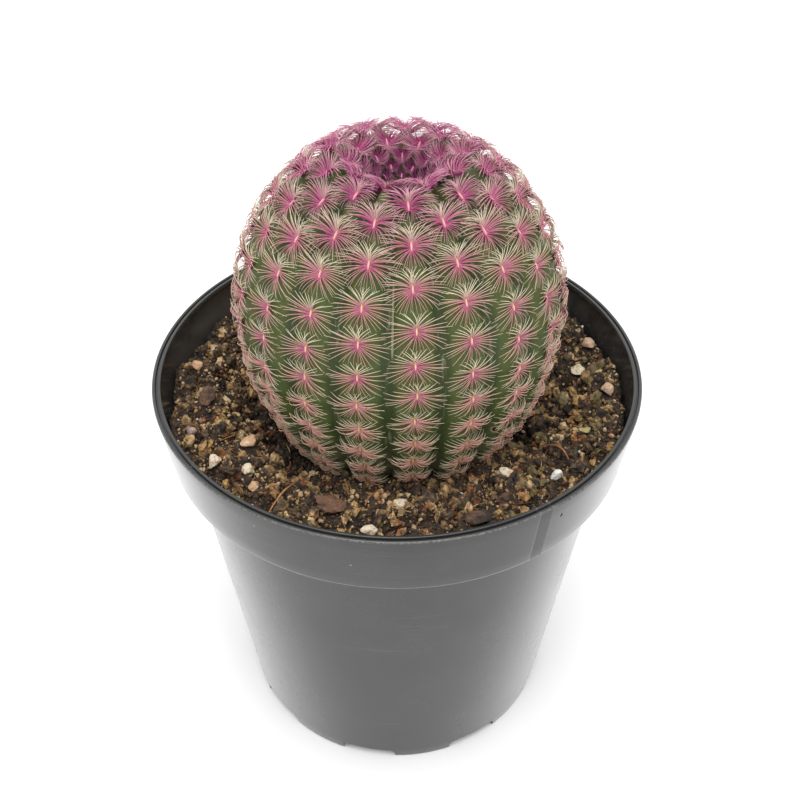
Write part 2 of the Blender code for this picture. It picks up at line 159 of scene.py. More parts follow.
FOOT_RADIUS = 0.0382
WALL = 0.0012
BAND_HEIGHT = 0.0153
BAND_DRAFT = 0.0019
BAND_STEP_IN = 0.0036
LIP_WIDTH = 0.0019
LIP_HEIGHT = 0.0012
LIP_GROOVE_DEPTH = 0.0007
FLOOR_RISE = 0.0034
FLOOR_THICKNESS = 0.0014
FOOT_RING_WIDTH = 0.0016
NOTCH_COUNT = 9
NOTCH_HEIGHT = 0.0028
NOTCH_AZIMUTH = -10.4
NOTCH_ARC = 19.6
DRAIN_HOLE_RADIUS = 0.0030
DRAIN_RING_RADIUS = 0.0260
STRIP_AZIMUTH = 32.0
STRIP_WIDTH = 0.0030
STRIP_DEPTH = 0.00008
PIN_MARK_AZIMUTH = 36.7
PIN_MARK_BELOW_RIM = 0.0042
PIN_MARK_SIZE = (0.0006, 0.0008, 0.0011)
POT_STEPS = 192
POT_RING_STEP = 0.0035

rim_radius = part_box("nursery_pot")[1].x
pot_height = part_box("nursery_pot")[1].z
floor_top = FLOOR_RISE + FLOOR_THICKNESS
band_foot = pot_height - BAND_HEIGHT
band_foot_radius = rim_radius - BAND_DRAFT
wall_top_radius = band_foot_radius - BAND_STEP_IN
ledge_top = band_foot + WALL


def on_circle(radius, azimuth, height):
    """The point at a radius and an azimuth in radians about the pot's axis."""
    return Vector((radius * math.sin(azimuth), -radius * math.cos(azimuth), height))


def skin_rings(rings, first_pole=None, last_pole=None):
    """A closed skin through a stack of rings with as many points each, by fans or flat caps."""
    bm = bmesh.new()
    loops = [[bm.verts.new(point) for point in ring] for ring in rings]
    count = len(loops[0])
    for lower, upper in zip(loops, loops[1:]):
        for here in range(count):
            there = (here + 1) % count
            bm.faces.new((lower[here], lower[there], upper[there], upper[here]))
    ends = ((list(reversed(loops[0])), first_pole), (loops[-1], last_pole))
    for loop, pole in ends:
        if pole is None:
            bm.faces.new(loop)
            continue
        tip = bm.verts.new(pole)
        for here in range(count):
            bm.faces.new((tip, loop[here], loop[(here + 1) % count]))
    return bm


def to_mesh(name, bm, sharp_angle=40.0):
    """Turn a bmesh into a mesh that is smooth except across sharp edges."""
    mesh = bpy.data.meshes.new(name)
    bm.to_mesh(mesh)
    bm.free()
    mesh.shade_smooth()
    mesh.set_sharp_from_angle(angle=math.radians(sharp_angle))
    return mesh


def baked(item):
    """Replace an object's mesh by what its modifiers make of it, and drop the modifiers."""
    bpy.context.view_layer.update()
    graph = bpy.context.evaluated_depsgraph_get()
    mesh = bpy.data.meshes.new_from_object(item.evaluated_get(graph),
                                           preserve_all_data_layers=True, depsgraph=graph)
    item.modifiers.clear()
    item.data = mesh
    mesh.name = item.name
    return item


def eased(corners, steps=5):
    """Points (radius, height) of a section whose corners are rounded by their third number."""
    line = []
    for index, (radius, height, ease) in enumerate(corners):
        corner = Vector((radius, height))
        if ease == 0.0:
            line.append(corner)
            continue
        before = Vector(corners[index - 1][:2])
        after = Vector(corners[index + 1][:2])
        start = corner + (before - corner).normalized() * ease
        end = corner + (after - corner).normalized() * ease
        for step in range(steps + 1):
            share = step / steps
            line.append(start.lerp(corner, share).lerp(corner.lerp(end, share), share))
    return line


def stepped(line, longest):
    """The same section with its long straights cut into short steps."""
    steps = [line[0]]
    for start, end in zip(line, line[1:]):
        count = max(1, math.ceil((end - start).length / longest))
        steps += [start.lerp(end, step / count) for step in range(1, count + 1)]
    return steps


def band_radius_at(height):
    """Outer radius of the band under the lip."""
    return band_foot_radius + BAND_DRAFT * (height - band_foot) / BAND_HEIGHT


def pot_section():
    """Half section: under the floor, out, up the outside, over the lip, down the inside."""
    foot_inner = FOOT_RADIUS - FOOT_RING_WIDTH
    lip_inner = rim_radius - LIP_WIDTH
    lip_foot = pot_height - LIP_HEIGHT
    groove_out = rim_radius - 0.40 * LIP_WIDTH
    groove_in = rim_radius - 0.68 * LIP_WIDTH
    groove_floor = pot_height - LIP_GROOVE_DEPTH
    return eased([
        (0.0, FLOOR_RISE, 0.0),
        (foot_inner, FLOOR_RISE, 0.0004),
        (foot_inner, 0.0, 0.0003),
        (FOOT_RADIUS, 0.0, 0.0005),
        (wall_top_radius, band_foot, 0.0008),
        (band_foot_radius, band_foot, 0.0007),
        (rim_radius, pot_height, 0.0005),
        (groove_out, pot_height, 0.0002),
        (groove_out - 0.0001, groove_floor, 0.0001),
        (groove_in + 0.0001, groove_floor, 0.0001),
        (groove_in, pot_height, 0.0002),
        (lip_inner, pot_height, 0.0002),
        (lip_inner, lip_foot, 0.0003),
        (band_radius_at(lip_foot) - WALL, lip_foot - 0.0004, 0.0002),
        (band_radius_at(ledge_top) - WALL, ledge_top, 0.0008),
        (wall_top_radius - WALL, ledge_top, 0.0006),
        (FOOT_RADIUS - WALL, floor_top, 0.0010),
        (0.0, floor_top, 0.0),
    ])


def pot_cutters():
    """Everything taken out of the turned pot: notches, drain holes and the pin mark."""
    bm = bmesh.new()
    width = 2.0 * FOOT_RADIUS * math.sin(math.radians(NOTCH_ARC) / 2.0)
    reach = 4.0 * FOOT_RING_WIDTH
    holes = [Vector((0.0, 0.0, floor_top))]
    for notch in range(NOTCH_COUNT):
        azimuth = math.radians(NOTCH_AZIMUTH) + notch * 2.0 * math.pi / NOTCH_COUNT
        holes.append(on_circle(DRAIN_RING_RADIUS, azimuth, floor_top))
        place = Matrix.Translation(on_circle(FOOT_RADIUS, azimuth, 0.0))
        turn = Matrix.Rotation(azimuth, 4, "Z")
        size = Matrix.Diagonal((width, reach, 2.0 * NOTCH_HEIGHT, 1.0))
        block = bmesh.ops.create_cube(bm, size=1.0, matrix=place @ turn @ size)
        edges = dict.fromkeys(edge for vert in block["verts"] for edge in vert.link_edges)
        sides = [edge for edge in edges if all(end.co.z > 0.0 for end in edge.verts)
                 and abs(edge.calc_length() - reach) < 0.1 * reach]
        bmesh.ops.bevel(bm, geom=sides, offset=0.6 * NOTCH_HEIGHT, segments=6, profile=0.5,
                        affect="EDGES")
    for hole in holes:
        bmesh.ops.create_cone(bm, cap_ends=True, segments=32, radius1=DRAIN_HOLE_RADIUS,
                              radius2=DRAIN_HOLE_RADIUS, depth=4.0 * FLOOR_THICKNESS,
                              matrix=Matrix.Translation(hole))
    mark = pot_height - PIN_MARK_BELOW_RIM
    azimuth = math.radians(PIN_MARK_AZIMUTH)
    place = Matrix.Translation(on_circle(band_radius_at(mark), azimuth, mark))
    turn = Matrix.Rotation(azimuth, 4, "Z")
    bmesh.ops.create_icosphere(bm, subdivisions=2, radius=0.5,
                               matrix=place @ turn @ Matrix.Diagonal((*PIN_MARK_SIZE, 1.0)))
    return to_mesh("pot_cutters", bm)


def new_group(name, inputs, outputs):
    """A shader node group with named number inputs, and its two end nodes' sockets."""
    group = bpy.data.node_groups.new(name, "ShaderNodeTree")
    for label, value in inputs.items():
        group.interface.new_socket(label, in_out="INPUT",
                                   socket_type="NodeSocketFloat").default_value = value
    for label, kind in outputs.items():
        group.interface.new_socket(label, in_out="OUTPUT", socket_type=kind)
    given = group.nodes.new("NodeGroupInput").outputs
    returned = group.nodes.new("NodeGroupOutput").inputs
    return group, given, returned


def tree_of(values):
    """The node tree that the sockets among these values belong to."""
    return next(value.id_data for value in values if isinstance(value, bpy.types.NodeSocket))


def reckon(operation, *values, clamp=False):
    """One step of arithmetic on numbers and number sockets."""
    return put(tree_of(values), "ShaderNodeMath", dict(enumerate(values)), operation=operation,
               use_clamp=clamp).outputs[0]


def product(first, *others):
    """Numbers and number sockets multiplied together."""
    for other in others:
        first = reckon("MULTIPLY", first, other)
    return first


def total(first, second):
    """Two numbers or number sockets added together."""
    return reckon("ADD", first, second)


def ranged(value, low, high, to_low=0.0, to_high=1.0):
    """A value moved from one range to another, with a soft start and end."""
    return put(value.id_data, "ShaderNodeMapRange",
               {0: value, 1: low, 2: high, 3: to_low, 4: to_high},
               interpolation_type="SMOOTHSTEP").outputs[0]


def own_place(tree):
    """Where a point of the piece is, in the frame's metres."""
    return put(tree, "ShaderNodeTexCoord").outputs["Object"]


def axes_of(place):
    """The three numbers of a vector socket."""
    return put(place.id_data, "ShaderNodeSeparateXYZ", {0: place}).outputs


def read_value(tree, name):
    """A number stored on the mesh."""
    return put(tree, "ShaderNodeAttribute", attribute_name=name).outputs["Fac"]


# Uneven: a mottled shade and the bumps that go with it, by grain size and depth in metres.
uneven, given, returned = new_group(
    "uneven", {"Grain": 0.001, "Depth": 0.0001, "Detail": 4.0},
    {"Shade": "NodeSocketFloat", "Normal": "NodeSocketVector"})
spot = own_place(uneven)
fine = reckon("DIVIDE", 1.0, given["Grain"])
mottle = put(uneven, "ShaderNodeTexNoise",
             {"Vector": spot, "Scale": fine, "Detail": given["Detail"], "Roughness": 0.6})
uneven.links.new(mottle.outputs["Fac"], returned["Shade"])
dents = put(uneven, "ShaderNodeBump", {"Height": mottle.outputs["Fac"],
                                       "Distance": given["Depth"]})
uneven.links.new(dents.outputs["Normal"], returned["Normal"])

# Specks: small separate dots, by the distance between them and the share that shows.
specks, given, returned = new_group(
    "specks", {"Spacing": 0.002, "Size": 0.1, "Share": 0.3}, {"Mask": "NodeSocketFloat"})
spot = own_place(specks)
cells = put(specks, "ShaderNodeTexVoronoi",
            {"Vector": spot, "Scale": reckon("DIVIDE", 1.0, given["Spacing"])})
near = reckon("LESS_THAN", cells.outputs["Distance"], given["Size"])
lot = put(specks, "ShaderNodeSeparateColor", {0: cells.outputs["Color"]}).outputs[0]
chosen = reckon("LESS_THAN", lot, given["Share"])
specks.links.new(product(near, chosen), returned["Mask"])


def use_group(tree, group, **values):
    """Place a node group in a material with its own values."""
    node = put(tree, "ShaderNodeGroup", node_tree=group)
    for name, value in values.items():
        node.inputs[name].default_value = value
    return node.outputs


POT_BLACK = (0.020, 0.0205, 0.021, 1.0)
POT_WORN = (0.031, 0.031, 0.031, 1.0)
# Painted highlight: a lighter grey on the lip's top and along the strip's edges.
POT_PAINTED_HIGHLIGHT = (0.120, 0.120, 0.116, 1.0)
# Partly scuffs and partly a painted highlight, along the rim's outer edge.
POT_EDGE_SCUFF_AND_HIGHLIGHT = (0.210, 0.205, 0.190, 1.0)
# Painted reflection: the white surround mirrored at a glancing view, and how much of it shows.
POT_PAINTED_REFLECTION = (0.450, 0.450, 0.450, 1.0)
POT_PAINTED_REFLECTION_SHARE = 0.75
POT_DUST = (0.30, 0.28, 0.26, 1.0)
SOIL_SMEAR = (0.082, 0.072, 0.062, 1.0)

pot_finish, pot_tree, pot_shader = new_finish("black_polypropylene")
skin = use_group(pot_tree, uneven, Grain=0.00045, Depth=0.00001, Detail=2.0)
cloudy = use_group(pot_tree, uneven, Grain=0.018, Depth=0.0, Detail=5.0)
colour = mixed(ranged(cloudy["Shade"], 0.35, 0.65), POT_BLACK, POT_WORN)
spot = own_place(pot_tree)
stretched = put(pot_tree, "ShaderNodeMapping", {"Vector": spot, "Scale": (60.0, 60.0, 900.0)})
scratches = put(pot_tree, "ShaderNodeTexNoise", {"Vector": stretched.outputs[0], "Scale": 1.0,
                                                 "Detail": 6.0}).outputs["Fac"]
scuffed = ranged(scratches, 0.60, 0.72)
colour = mixed(product(scuffed, 0.04), colour, POT_DUST)
dust = use_group(pot_tree, specks, Spacing=0.0045, Size=0.045, Share=0.30)["Mask"]
colour = mixed(product(dust, 0.75), colour, POT_DUST)
axes = axes_of(spot)
inside = read_value(pot_tree, "inside")
low_down = ranged(axes[2], pot_height - 0.0020, pot_height - 0.0070)
above_ledge = reckon("GREATER_THAN", axes[2], ledge_top)
smear = product(inside, low_down, ranged(cloudy["Shade"], 0.30, 0.60))
smear = product(smear, above_ledge)
colour = mixed(product(smear, 0.6), colour, SOIL_SMEAR)
# Painted highlight: the lip's top a little lighter.
painted_lip_highlight = ranged(axes[2], pot_height - 0.0012, pot_height - 0.0002, 0.0, 0.05)
colour = mixed(painted_lip_highlight, colour, POT_PAINTED_HIGHLIGHT)
from_axis = reckon("SQRT", total(product(axes[0], axes[0]), product(axes[1], axes[1])))
# A dotted lighter line round the rim's outer edge: partly scuffs, partly painted highlight.
edge_scuff_and_highlight = ranged(from_axis, rim_radius - 0.0004, rim_radius - 0.0001)
edge_scuff_and_highlight = product(edge_scuff_and_highlight, ranged(axes[2], pot_height - 0.0005, pot_height - 0.0001))
edge_scuff_and_highlight = product(edge_scuff_and_highlight, ranged(skin["Shade"], 0.35, 0.65, 0.10, 0.65))
colour = mixed(edge_scuff_and_highlight, colour, POT_EDGE_SCUFF_AND_HIGHLIGHT)
along_strip = reckon("ARCTAN2", axes[0], product(axes[1], -1.0))
off_strip = reckon("ABSOLUTE", reckon("SUBTRACT", along_strip, math.radians(STRIP_AZIMUTH)))
half_strip = 0.5 * STRIP_WIDTH / rim_radius
on_band = ranged(axes[2], band_foot, band_foot + 0.0006)
on_strip = product(on_band, ranged(off_strip, half_strip * 1.03, half_strip * 0.95))
# Painted highlight: thin lighter lines along both edges of the strip.
painted_strip_edge_highlight = product(on_band, reckon("COMPARE", off_strip, half_strip, 0.09 * half_strip))
colour = mixed(product(painted_strip_edge_highlight, 0.55), colour, POT_PAINTED_HIGHLIGHT)
# Painted reflection: the outside lighter towards a glancing view.
glance = put(pot_tree, "ShaderNodeLayerWeight", {"Blend": 0.5}).outputs["Facing"]
painted_reflection = product(ranged(glance, 0.55, 1.0), POT_PAINTED_REFLECTION_SHARE)
painted_reflection = product(painted_reflection, reckon("SUBTRACT", 1.0, inside))
colour = mixed(painted_reflection, colour, POT_PAINTED_REFLECTION)
dullness = ranged(cloudy["Shade"], 0.3, 0.7, 0.20, 0.28)
pressed = put(pot_tree, "ShaderNodeBump",
              {"Height": product(on_strip, -1.0), "Distance": STRIP_DEPTH,
               "Normal": skin["Normal"]})
painted(pot_shader, Base_Color=colour, Normal=pressed.outputs["Normal"],
        Roughness=reckon("MULTIPLY_ADD", on_strip, 0.22, dullness))

turn = 2.0 * math.pi / POT_STEPS
section = stepped(pot_section(), POT_RING_STEP)
rings = [[on_circle(point.x, step * turn, point.y) for step in range(POT_STEPS)]
         for point in section[1:-1]]
pot = add_piece("moulded_pot", to_mesh("moulded_pot", skin_rings(
    rings, (0.0, 0.0, section[0].y), (0.0, 0.0, section[-1].y))))
pot.data.materials.append(pot_finish)
cutters = add_piece("pot_cutters", pot_cutters())
taken_out = pot.modifiers.new("taken_out", "BOOLEAN")
taken_out.operation = "DIFFERENCE"
taken_out.solver = "EXACT"
taken_out.object = cutters
baked(pot)
bpy.data.objects.remove(cutters)
pot.data.shade_smooth()
pot.data.set_sharp_from_angle(angle=math.radians(35.0))
pot.data.attributes.new("inside", "FLOAT", "FACE").data.foreach_set(
    "value", [float(face.normal.xy.dot(face.center.xy) < 0.0) for face in pot.data.polygons])
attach(pot, "root")
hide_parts("nursery_pot")


# ---------------------------------------------------------------- stem
# The living stem: a globe with nineteen low ribs that swell at each areole, sunk in at the
# crown. It grew as one piece; its skin is green and waxy, and corky towards the soil.

STEM_RADIUS = 0.0320
STEM_UPPER_HEIGHT = 0.0332
STEM_LOWER_HEIGHT = 0.0450
STEM_UPPER_ROUNDNESS = 1.95
STEM_LOWER_ROUNDNESS = 2.00
PLANT_OFFSET = Vector((0.0005, -0.0015, 0.0))
CROWN_DEPTH = 0.0090
CROWN_HOLLOW_RADIUS = 0.0095
RIB_COUNT = 19
RIB_DEPTH = 0.0017
RIB_FADE_RADIUS = 0.0100
FRONT_RIB_AZIMUTH = math.radians(5.3)
SWELL_HEIGHT = 0.0006
OUTLINE_POINTS = 400
STEM_RINGS = 210
STEPS_PER_RIB = 16

# Areoles: the first on the outer skin, how far apart they start and end up, and how quickly
# they crowd together towards the growing point. Each rib is ten nineteenths of a step on.
FIRST_AREOLE_DOWN = 0.0168
AREOLE_STEP = 0.0080
AREOLE_STEP_LOSS = 0.00045
AREOLE_LAST_STEP = 0.0062
CROWDING = 0.42
STEP_PER_RIB = 10.0 / 19.0

stem_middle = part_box("cactus_stem")[0].z + STEM_LOWER_HEIGHT


def areole_down(turn):
    """Distance down the skin from the crown's centre to the areole with this number."""
    if turn < 0.0:
        return FIRST_AREOLE_DOWN - AREOLE_STEP / CROWDING * (1.0 - math.exp(CROWDING * turn))
    settled = (AREOLE_STEP - AREOLE_LAST_STEP) / AREOLE_STEP_LOSS
    early = min(turn, settled)
    down = FIRST_AREOLE_DOWN + early * (AREOLE_STEP - 0.5 * AREOLE_STEP_LOSS * early)
    return down + max(0.0, turn - settled) * AREOLE_LAST_STEP


def stem_outline():
    """Points (radius, height) of the rib crests, from the crown's centre to the base's tip."""
    points = []
    for sample in range(OUTLINE_POINTS + 1):
        angle = math.pi / 2.0 - math.pi * sample / OUTLINE_POINTS
        power = STEM_LOWER_ROUNDNESS if angle < 0.0 else STEM_UPPER_ROUNDNESS
        radius = STEM_RADIUS * abs(math.cos(angle)) ** (2.0 / power)
        rise = abs(math.sin(angle)) ** (2.0 / power)
        sink = CROWN_DEPTH * math.exp(-(radius / CROWN_HOLLOW_RADIUS) ** 4)
        if angle < 0.0:
            points.append((radius, stem_middle - STEM_LOWER_HEIGHT * rise))
        else:
            points.append((radius, stem_middle + STEM_UPPER_HEIGHT * rise - sink))
    points[0] = (0.0, points[0][1])
    points[-1] = (0.0, points[-1][1])
    return np.array(points)


outline = stem_outline()
outline_steps = np.diff(outline, axis=0)
outline_down = np.concatenate([[0.0], np.cumsum(np.hypot(*outline_steps.T))])
turns = np.linspace(-6.0, 16.0, 600)
outline_turn = np.interp(outline_down, [areole_down(turn) for turn in turns], turns)


def skin_at(down):
    """Radius, height and the outward normal of the rib crests at a distance down the skin."""
    radius = np.interp(down, outline_down, outline[:, 0])
    height = np.interp(down, outline_down, outline[:, 1])
    step = 0.0004
    ahead = min(down + step, outline_down[-1])
    behind = max(down - step, 0.0)
    run = np.interp([behind, ahead], outline_down, outline[:, 0])
    fall = np.interp([behind, ahead], outline_down, outline[:, 1])
    normal = Vector((fall[0] - fall[1], run[1] - run[0])).normalized()
    return radius, height, normal


def new_grower(name, inputs):
    """A Geometry Nodes tree with named inputs, one Geometry output, and its end nodes."""
    tree = bpy.data.node_groups.new(name, "GeometryNodeTree")
    for label, (kind, value) in inputs.items():
        socket = tree.interface.new_socket(label, in_out="INPUT", socket_type="NodeSocket" + kind)
        if value is not None:
            socket.default_value = value
    tree.interface.new_socket("Geometry", in_out="OUTPUT", socket_type="NodeSocketGeometry")
    given = tree.nodes.new("NodeGroupInput").outputs
    returned = tree.nodes.new("NodeGroupOutput").inputs
    return tree, given, returned


def reckon_vector(operation, *values, **by_name):
    """One step of vector arithmetic; Scale is given by name."""
    return put(tree_of(values), "ShaderNodeVectorMath", {**dict(enumerate(values)), **by_name},
               operation=operation).outputs["Vector"]


def vector(tree, *numbers):
    """Three numbers or number sockets joined into a vector."""
    return put(tree, "ShaderNodeCombineXYZ", dict(enumerate(numbers))).outputs[0]


def here_in(tree):
    """Where a point of the geometry is."""
    return put(tree, "GeometryNodeInputPosition").outputs[0]


def stored(geometry, name, value):
    """Store a number on each point of the geometry under a name."""
    return put(geometry.id_data, "GeometryNodeStoreNamedAttribute",
               {"Geometry": geometry, "Name": name, "Value": value}).outputs[0]


def coated(geometry, finish):
    """The geometry with its instances made real and in its finish."""
    single = put(geometry.id_data, "GeometryNodeRealizeInstances", {"Geometry": geometry})
    return put(geometry.id_data, "GeometryNodeSetMaterial",
               {"Geometry": single.outputs[0], "Material": finish}).outputs[0]


def named(tree, name, kind="FLOAT"):
    """Read back a value that the geometry holds under a name."""
    return put(tree, "GeometryNodeInputNamedAttribute", {"Name": name},
               data_type=kind).outputs["Attribute"]


def grown(name, mesh, tree, **sizes):
    """A piece grown from a small carrier mesh by a tree with these sizes, as a plain mesh."""
    item = add_piece(name, mesh)
    grower = item.modifiers.new("grower", "NODES")
    grower.node_group = tree
    for socket in tree.interface.items_tree:
        if socket.in_out == "INPUT" and socket.name.replace(" ", "_") in sizes:
            grower[socket.identifier] = sizes[socket.name.replace(" ", "_")]
    return baked(item)


ribbed, given, returned = new_grower("ribbed_stem", {
    "Outline": ("Geometry", None), "Ribs": ("Float", 19.0), "Rib Depth": ("Float", 0.0017),
    "Fade Radius": ("Float", 0.01), "First Rib": ("Float", 0.0),
    "Step per Rib": ("Float", 0.5), "Swell": ("Float", 0.0006), "Wobble": ("Float", 0.0002),
    "Offset": ("Vector", None), "Rings": ("Int", 200), "Columns": ("Int", 305),
    "Finish": ("Material", None)})
curve = put(ribbed, "GeometryNodeMeshToCurve", {"Mesh": given["Outline"]}).outputs[0]
sheet = put(ribbed, "GeometryNodeMeshGrid",
            {"Size X": 1.0, "Size Y": 1.0, "Vertices X": given["Rings"],
             "Vertices Y": given["Columns"]}).outputs[0]
corner = axes_of(here_in(ribbed))
down_share = total(corner["X"], 0.5)
round_share = total(corner["Y"], 0.5)
sampled = put(ribbed, "GeometryNodeSampleCurve",
              {"Curves": curve, "Value": named(ribbed, "turn"), "Factor": down_share},
              mode="FACTOR", data_type="FLOAT").outputs
crest = axes_of(sampled["Position"])
heading = axes_of(sampled["Tangent"])
rib_share = product(round_share, given["Ribs"])
rib = reckon("ROUND", rib_share)
wave = reckon("COSINE", product(rib_share, 2.0 * math.pi))
groove = reckon("POWER", reckon("MULTIPLY_ADD", wave, -0.5, 0.5), 1.7)
beat = reckon("SUBTRACT", sampled["Value"], product(rib, given["Step per Rib"]))
pulse = reckon("COSINE", product(beat, 2.0 * math.pi))
bulge = reckon("POWER", reckon("MULTIPLY_ADD", pulse, 0.5, 0.5), 1.4)
swell = product(bulge, reckon("SUBTRACT", 1.0, groove))
fade = reckon("DIVIDE", crest["X"], given["Fade Radius"], clamp=True)
push = reckon("SUBTRACT", product(swell, given["Swell"]), product(groove, given["Rib Depth"]))
push = product(push, fade)
radius = reckon("MULTIPLY_ADD", product(heading["Z"], -1.0), push, crest["X"])
height = reckon("MULTIPLY_ADD", heading["X"], push, crest["Z"])
azimuth = reckon("MULTIPLY_ADD", round_share, 2.0 * math.pi, given["First Rib"])
place = vector(ribbed, product(radius, reckon("SINE", azimuth)),
               product(radius, product(-1.0, reckon("COSINE", azimuth))), height)
wander = put(ribbed, "ShaderNodeTexNoise", {"Vector": place, "Scale": 130.0, "Detail": 2.0})
wander = reckon_vector("SUBTRACT", wander.outputs["Color"], (0.5, 0.5, 0.5))
wander = reckon_vector("SCALE", wander, Scale=product(given["Wobble"], fade))
place = reckon_vector("ADD", reckon_vector("ADD", place, wander), given["Offset"])
marked = stored(sheet, "groove", product(groove, fade))
marked = stored(marked, "swell", swell)
marked = stored(marked, "turn", sampled["Value"])
formed = put(ribbed, "GeometryNodeSetPosition", {"Geometry": marked, "Position": place})
closed = put(ribbed, "GeometryNodeMergeByDistance",
             {"Geometry": formed.outputs[0], "Distance": 1e-6}).outputs[0]
smooth = put(ribbed, "GeometryNodeSetShadeSmooth", {"Geometry": closed}).outputs[0]
ribbed.links.new(coated(smooth, given["Finish"]), returned["Geometry"])

SKIN_GREEN = (0.058, 0.088, 0.023, 1.0)
SKIN_OLIVE = (0.078, 0.086, 0.022, 1.0)
# Painted shade for the rib grooves.
SKIN_PAINTED_GROOVE_SHADE = (0.022, 0.038, 0.013, 1.0)
SKIN_BLOOM = (0.085, 0.100, 0.048, 1.0)
SKIN_CORK = (0.180, 0.165, 0.100, 1.0)
SCAR_PALE = (0.260, 0.250, 0.160, 1.0)
SCAR_AZIMUTH = math.radians(-2.6)
SCAR_HALF_ARC = math.radians(0.40)
SCAR_HEIGHTS = (0.1190, 0.1330)
# A small hole in the skin, drawn flat: a tan rim of its own colour round a middle of painted shade.
HOLE_PAINTED_SHADE = (0.012, 0.011, 0.007, 1.0)
HOLE_RIM = (0.340, 0.240, 0.140, 1.0)
HOLE_PLACE = on_circle(0.02975, math.radians(39.4), 0.0970) + PLANT_OFFSET
HOLE_RADIUS = 0.0006

skin_finish, skin_tree, skin_shader = new_finish(
    "waxy_green_skin", Roughness=0.5, Specular_IOR_Level=0.25, Subsurface_Weight=0.05,
    Subsurface_Scale=0.001)
pores = use_group(skin_tree, uneven, Grain=0.0006, Depth=0.00006, Detail=3.0)
patches = use_group(skin_tree, uneven, Grain=0.005, Depth=0.0, Detail=4.0)
colour = mixed(ranged(patches["Shade"], 0.35, 0.68), SKIN_GREEN, SKIN_OLIVE)
colour = mixed(product(ranged(pores["Shade"], 0.45, 0.75), 0.35), colour, SKIN_BLOOM)
# Painted shade: the rib grooves painted darker.
colour = mixed(ranged(read_value(skin_tree, "groove"), 0.45, 0.95, 0.0, 0.75), colour, SKIN_PAINTED_GROOVE_SHADE)
spot = own_place(skin_tree)
upright = put(skin_tree, "ShaderNodeMapping", {"Vector": spot, "Scale": (900.0, 900.0, 90.0)})
streaks = put(skin_tree, "ShaderNodeTexNoise", {"Vector": upright.outputs[0], "Scale": 1.0,
                                                "Detail": 4.0}).outputs["Fac"]
seam = ranged(read_value(skin_tree, "groove"), 0.86, 0.97)
seam = product(seam, ranged(streaks, 0.50, 0.66, 0.0, 0.7))
colour = mixed(seam, colour, SKIN_CORK)
corky = ranged(read_value(skin_tree, "turn"), 7.0, 10.5, 0.0, 0.7)
colour = mixed(product(corky, ranged(patches["Shade"], 0.3, 0.6)), colour, SKIN_CORK)
axes = axes_of(spot)
around = reckon("ARCTAN2", reckon("SUBTRACT", axes[0], PLANT_OFFSET.x),
                reckon("SUBTRACT", PLANT_OFFSET.y, axes[1]))
scar = reckon("COMPARE", around, SCAR_AZIMUTH, SCAR_HALF_ARC)
for end, into in zip(SCAR_HEIGHTS, (0.0020, -0.0020)):
    scar = product(scar, ranged(axes[2], end, end + into, 0.0, 0.9))
colour = mixed(scar, colour, SCAR_PALE)
from_hole = put(skin_tree, "ShaderNodeVectorMath", {0: spot, 1: HOLE_PLACE},
                operation="DISTANCE").outputs["Value"]
colour = mixed(ranged(from_hole, HOLE_RADIUS * 1.9, HOLE_RADIUS * 1.3), colour, HOLE_RIM)
# Painted shade in the middle of the flat hole.
colour = mixed(ranged(from_hole, HOLE_RADIUS * 1.2, HOLE_RADIUS * 0.9), colour, HOLE_PAINTED_SHADE)
painted(skin_shader, Base_Color=colour, Roughness=ranged(patches["Shade"], 0.3, 0.7, 0.42, 0.60),
        Normal=pores["Normal"])

line = bpy.data.meshes.new("stem_outline")
line.from_pydata([(radius, 0.0, height) for radius, height in outline],
                 [(here, here + 1) for here in range(OUTLINE_POINTS)], [])
line.attributes.new("turn", "FLOAT", "POINT").data.foreach_set(
    "value", outline_turn.astype(np.float32))
stem = grown("ribbed_stem", line, ribbed, Ribs=float(RIB_COUNT), Rib_Depth=RIB_DEPTH,
             Fade_Radius=RIB_FADE_RADIUS, First_Rib=FRONT_RIB_AZIMUTH,
             Step_per_Rib=STEP_PER_RIB, Swell=SWELL_HEIGHT, Wobble=0.0003,
             Offset=tuple(PLANT_OFFSET), Rings=STEM_RINGS,
             Columns=RIB_COUNT * STEPS_PER_RIB + 1, Finish=skin_finish)
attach(stem, "root")
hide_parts("cactus_stem")


# ---------------------------------------------------------------- soil bed
# Peat mix, damp and dark, that fills the pot to its wall and holds the stem. Its top is
# lumpy, rises a little to the wall and has a dark hollow at each side of the plant.

GAP = 0.0003
SOIL_RISE_TO_WALL = 0.0030
SOIL_BELOW_RIM = 0.0075
# The dark hollows beside the plant: azimuth, arc and depth, and where they are deepest.
HOLLOWS = ((-78.0, 24.0, 0.0085), (-48.0, 16.0, 0.0052), (80.0, 17.0, 0.0100))
HOLLOW_SHARE = 0.10
HOLLOW_SPREAD = 0.30
# Where the soil has shrunk back from the wall: azimuth and drop.
SOIL_SAGS = ((-112.0, 0.0026), (120.0, 0.0008))
SAG_ARC = 34.0
# How tall the soil's unevenness is and how many waves of it there are to a metre.
SOIL_WAVES = ((0.0028, 120.0), (0.0038, 300.0), (0.0018, 850.0))
SOIL_STEPS = 400
SOIL_RINGS = 44
POCKET_RINGS = 14
# How far under the foot of a stone or a bark chip the soil lies.
BED_DROP = 0.0004

soil_level = pot_height - SOIL_BELOW_RIM
soil_foot = soil_level - SOIL_RISE_TO_WALL
buried_from = OUTLINE_POINTS // 2
buried_down = float(np.interp(0.010 - soil_foot, -outline[buried_from:, 1],
                              outline_down[buried_from:]))
soil_edge = band_radius_at(soil_level) - WALL - 2.0 * GAP

# Where the stones and the bark chips lie: the middle, the reach and the foot of each.
loose_places = []
for node, count, share in (("grit_stone", 16, 1.0), ("bark_chip", 5, 0.7)):
    for number in range(1, count + 1):
        low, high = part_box(f"{node}_{number:02d}")
        loose_places.append(((low + high).xy / 2.0, 0.5 * share * (high - low).xy.length, low.z))


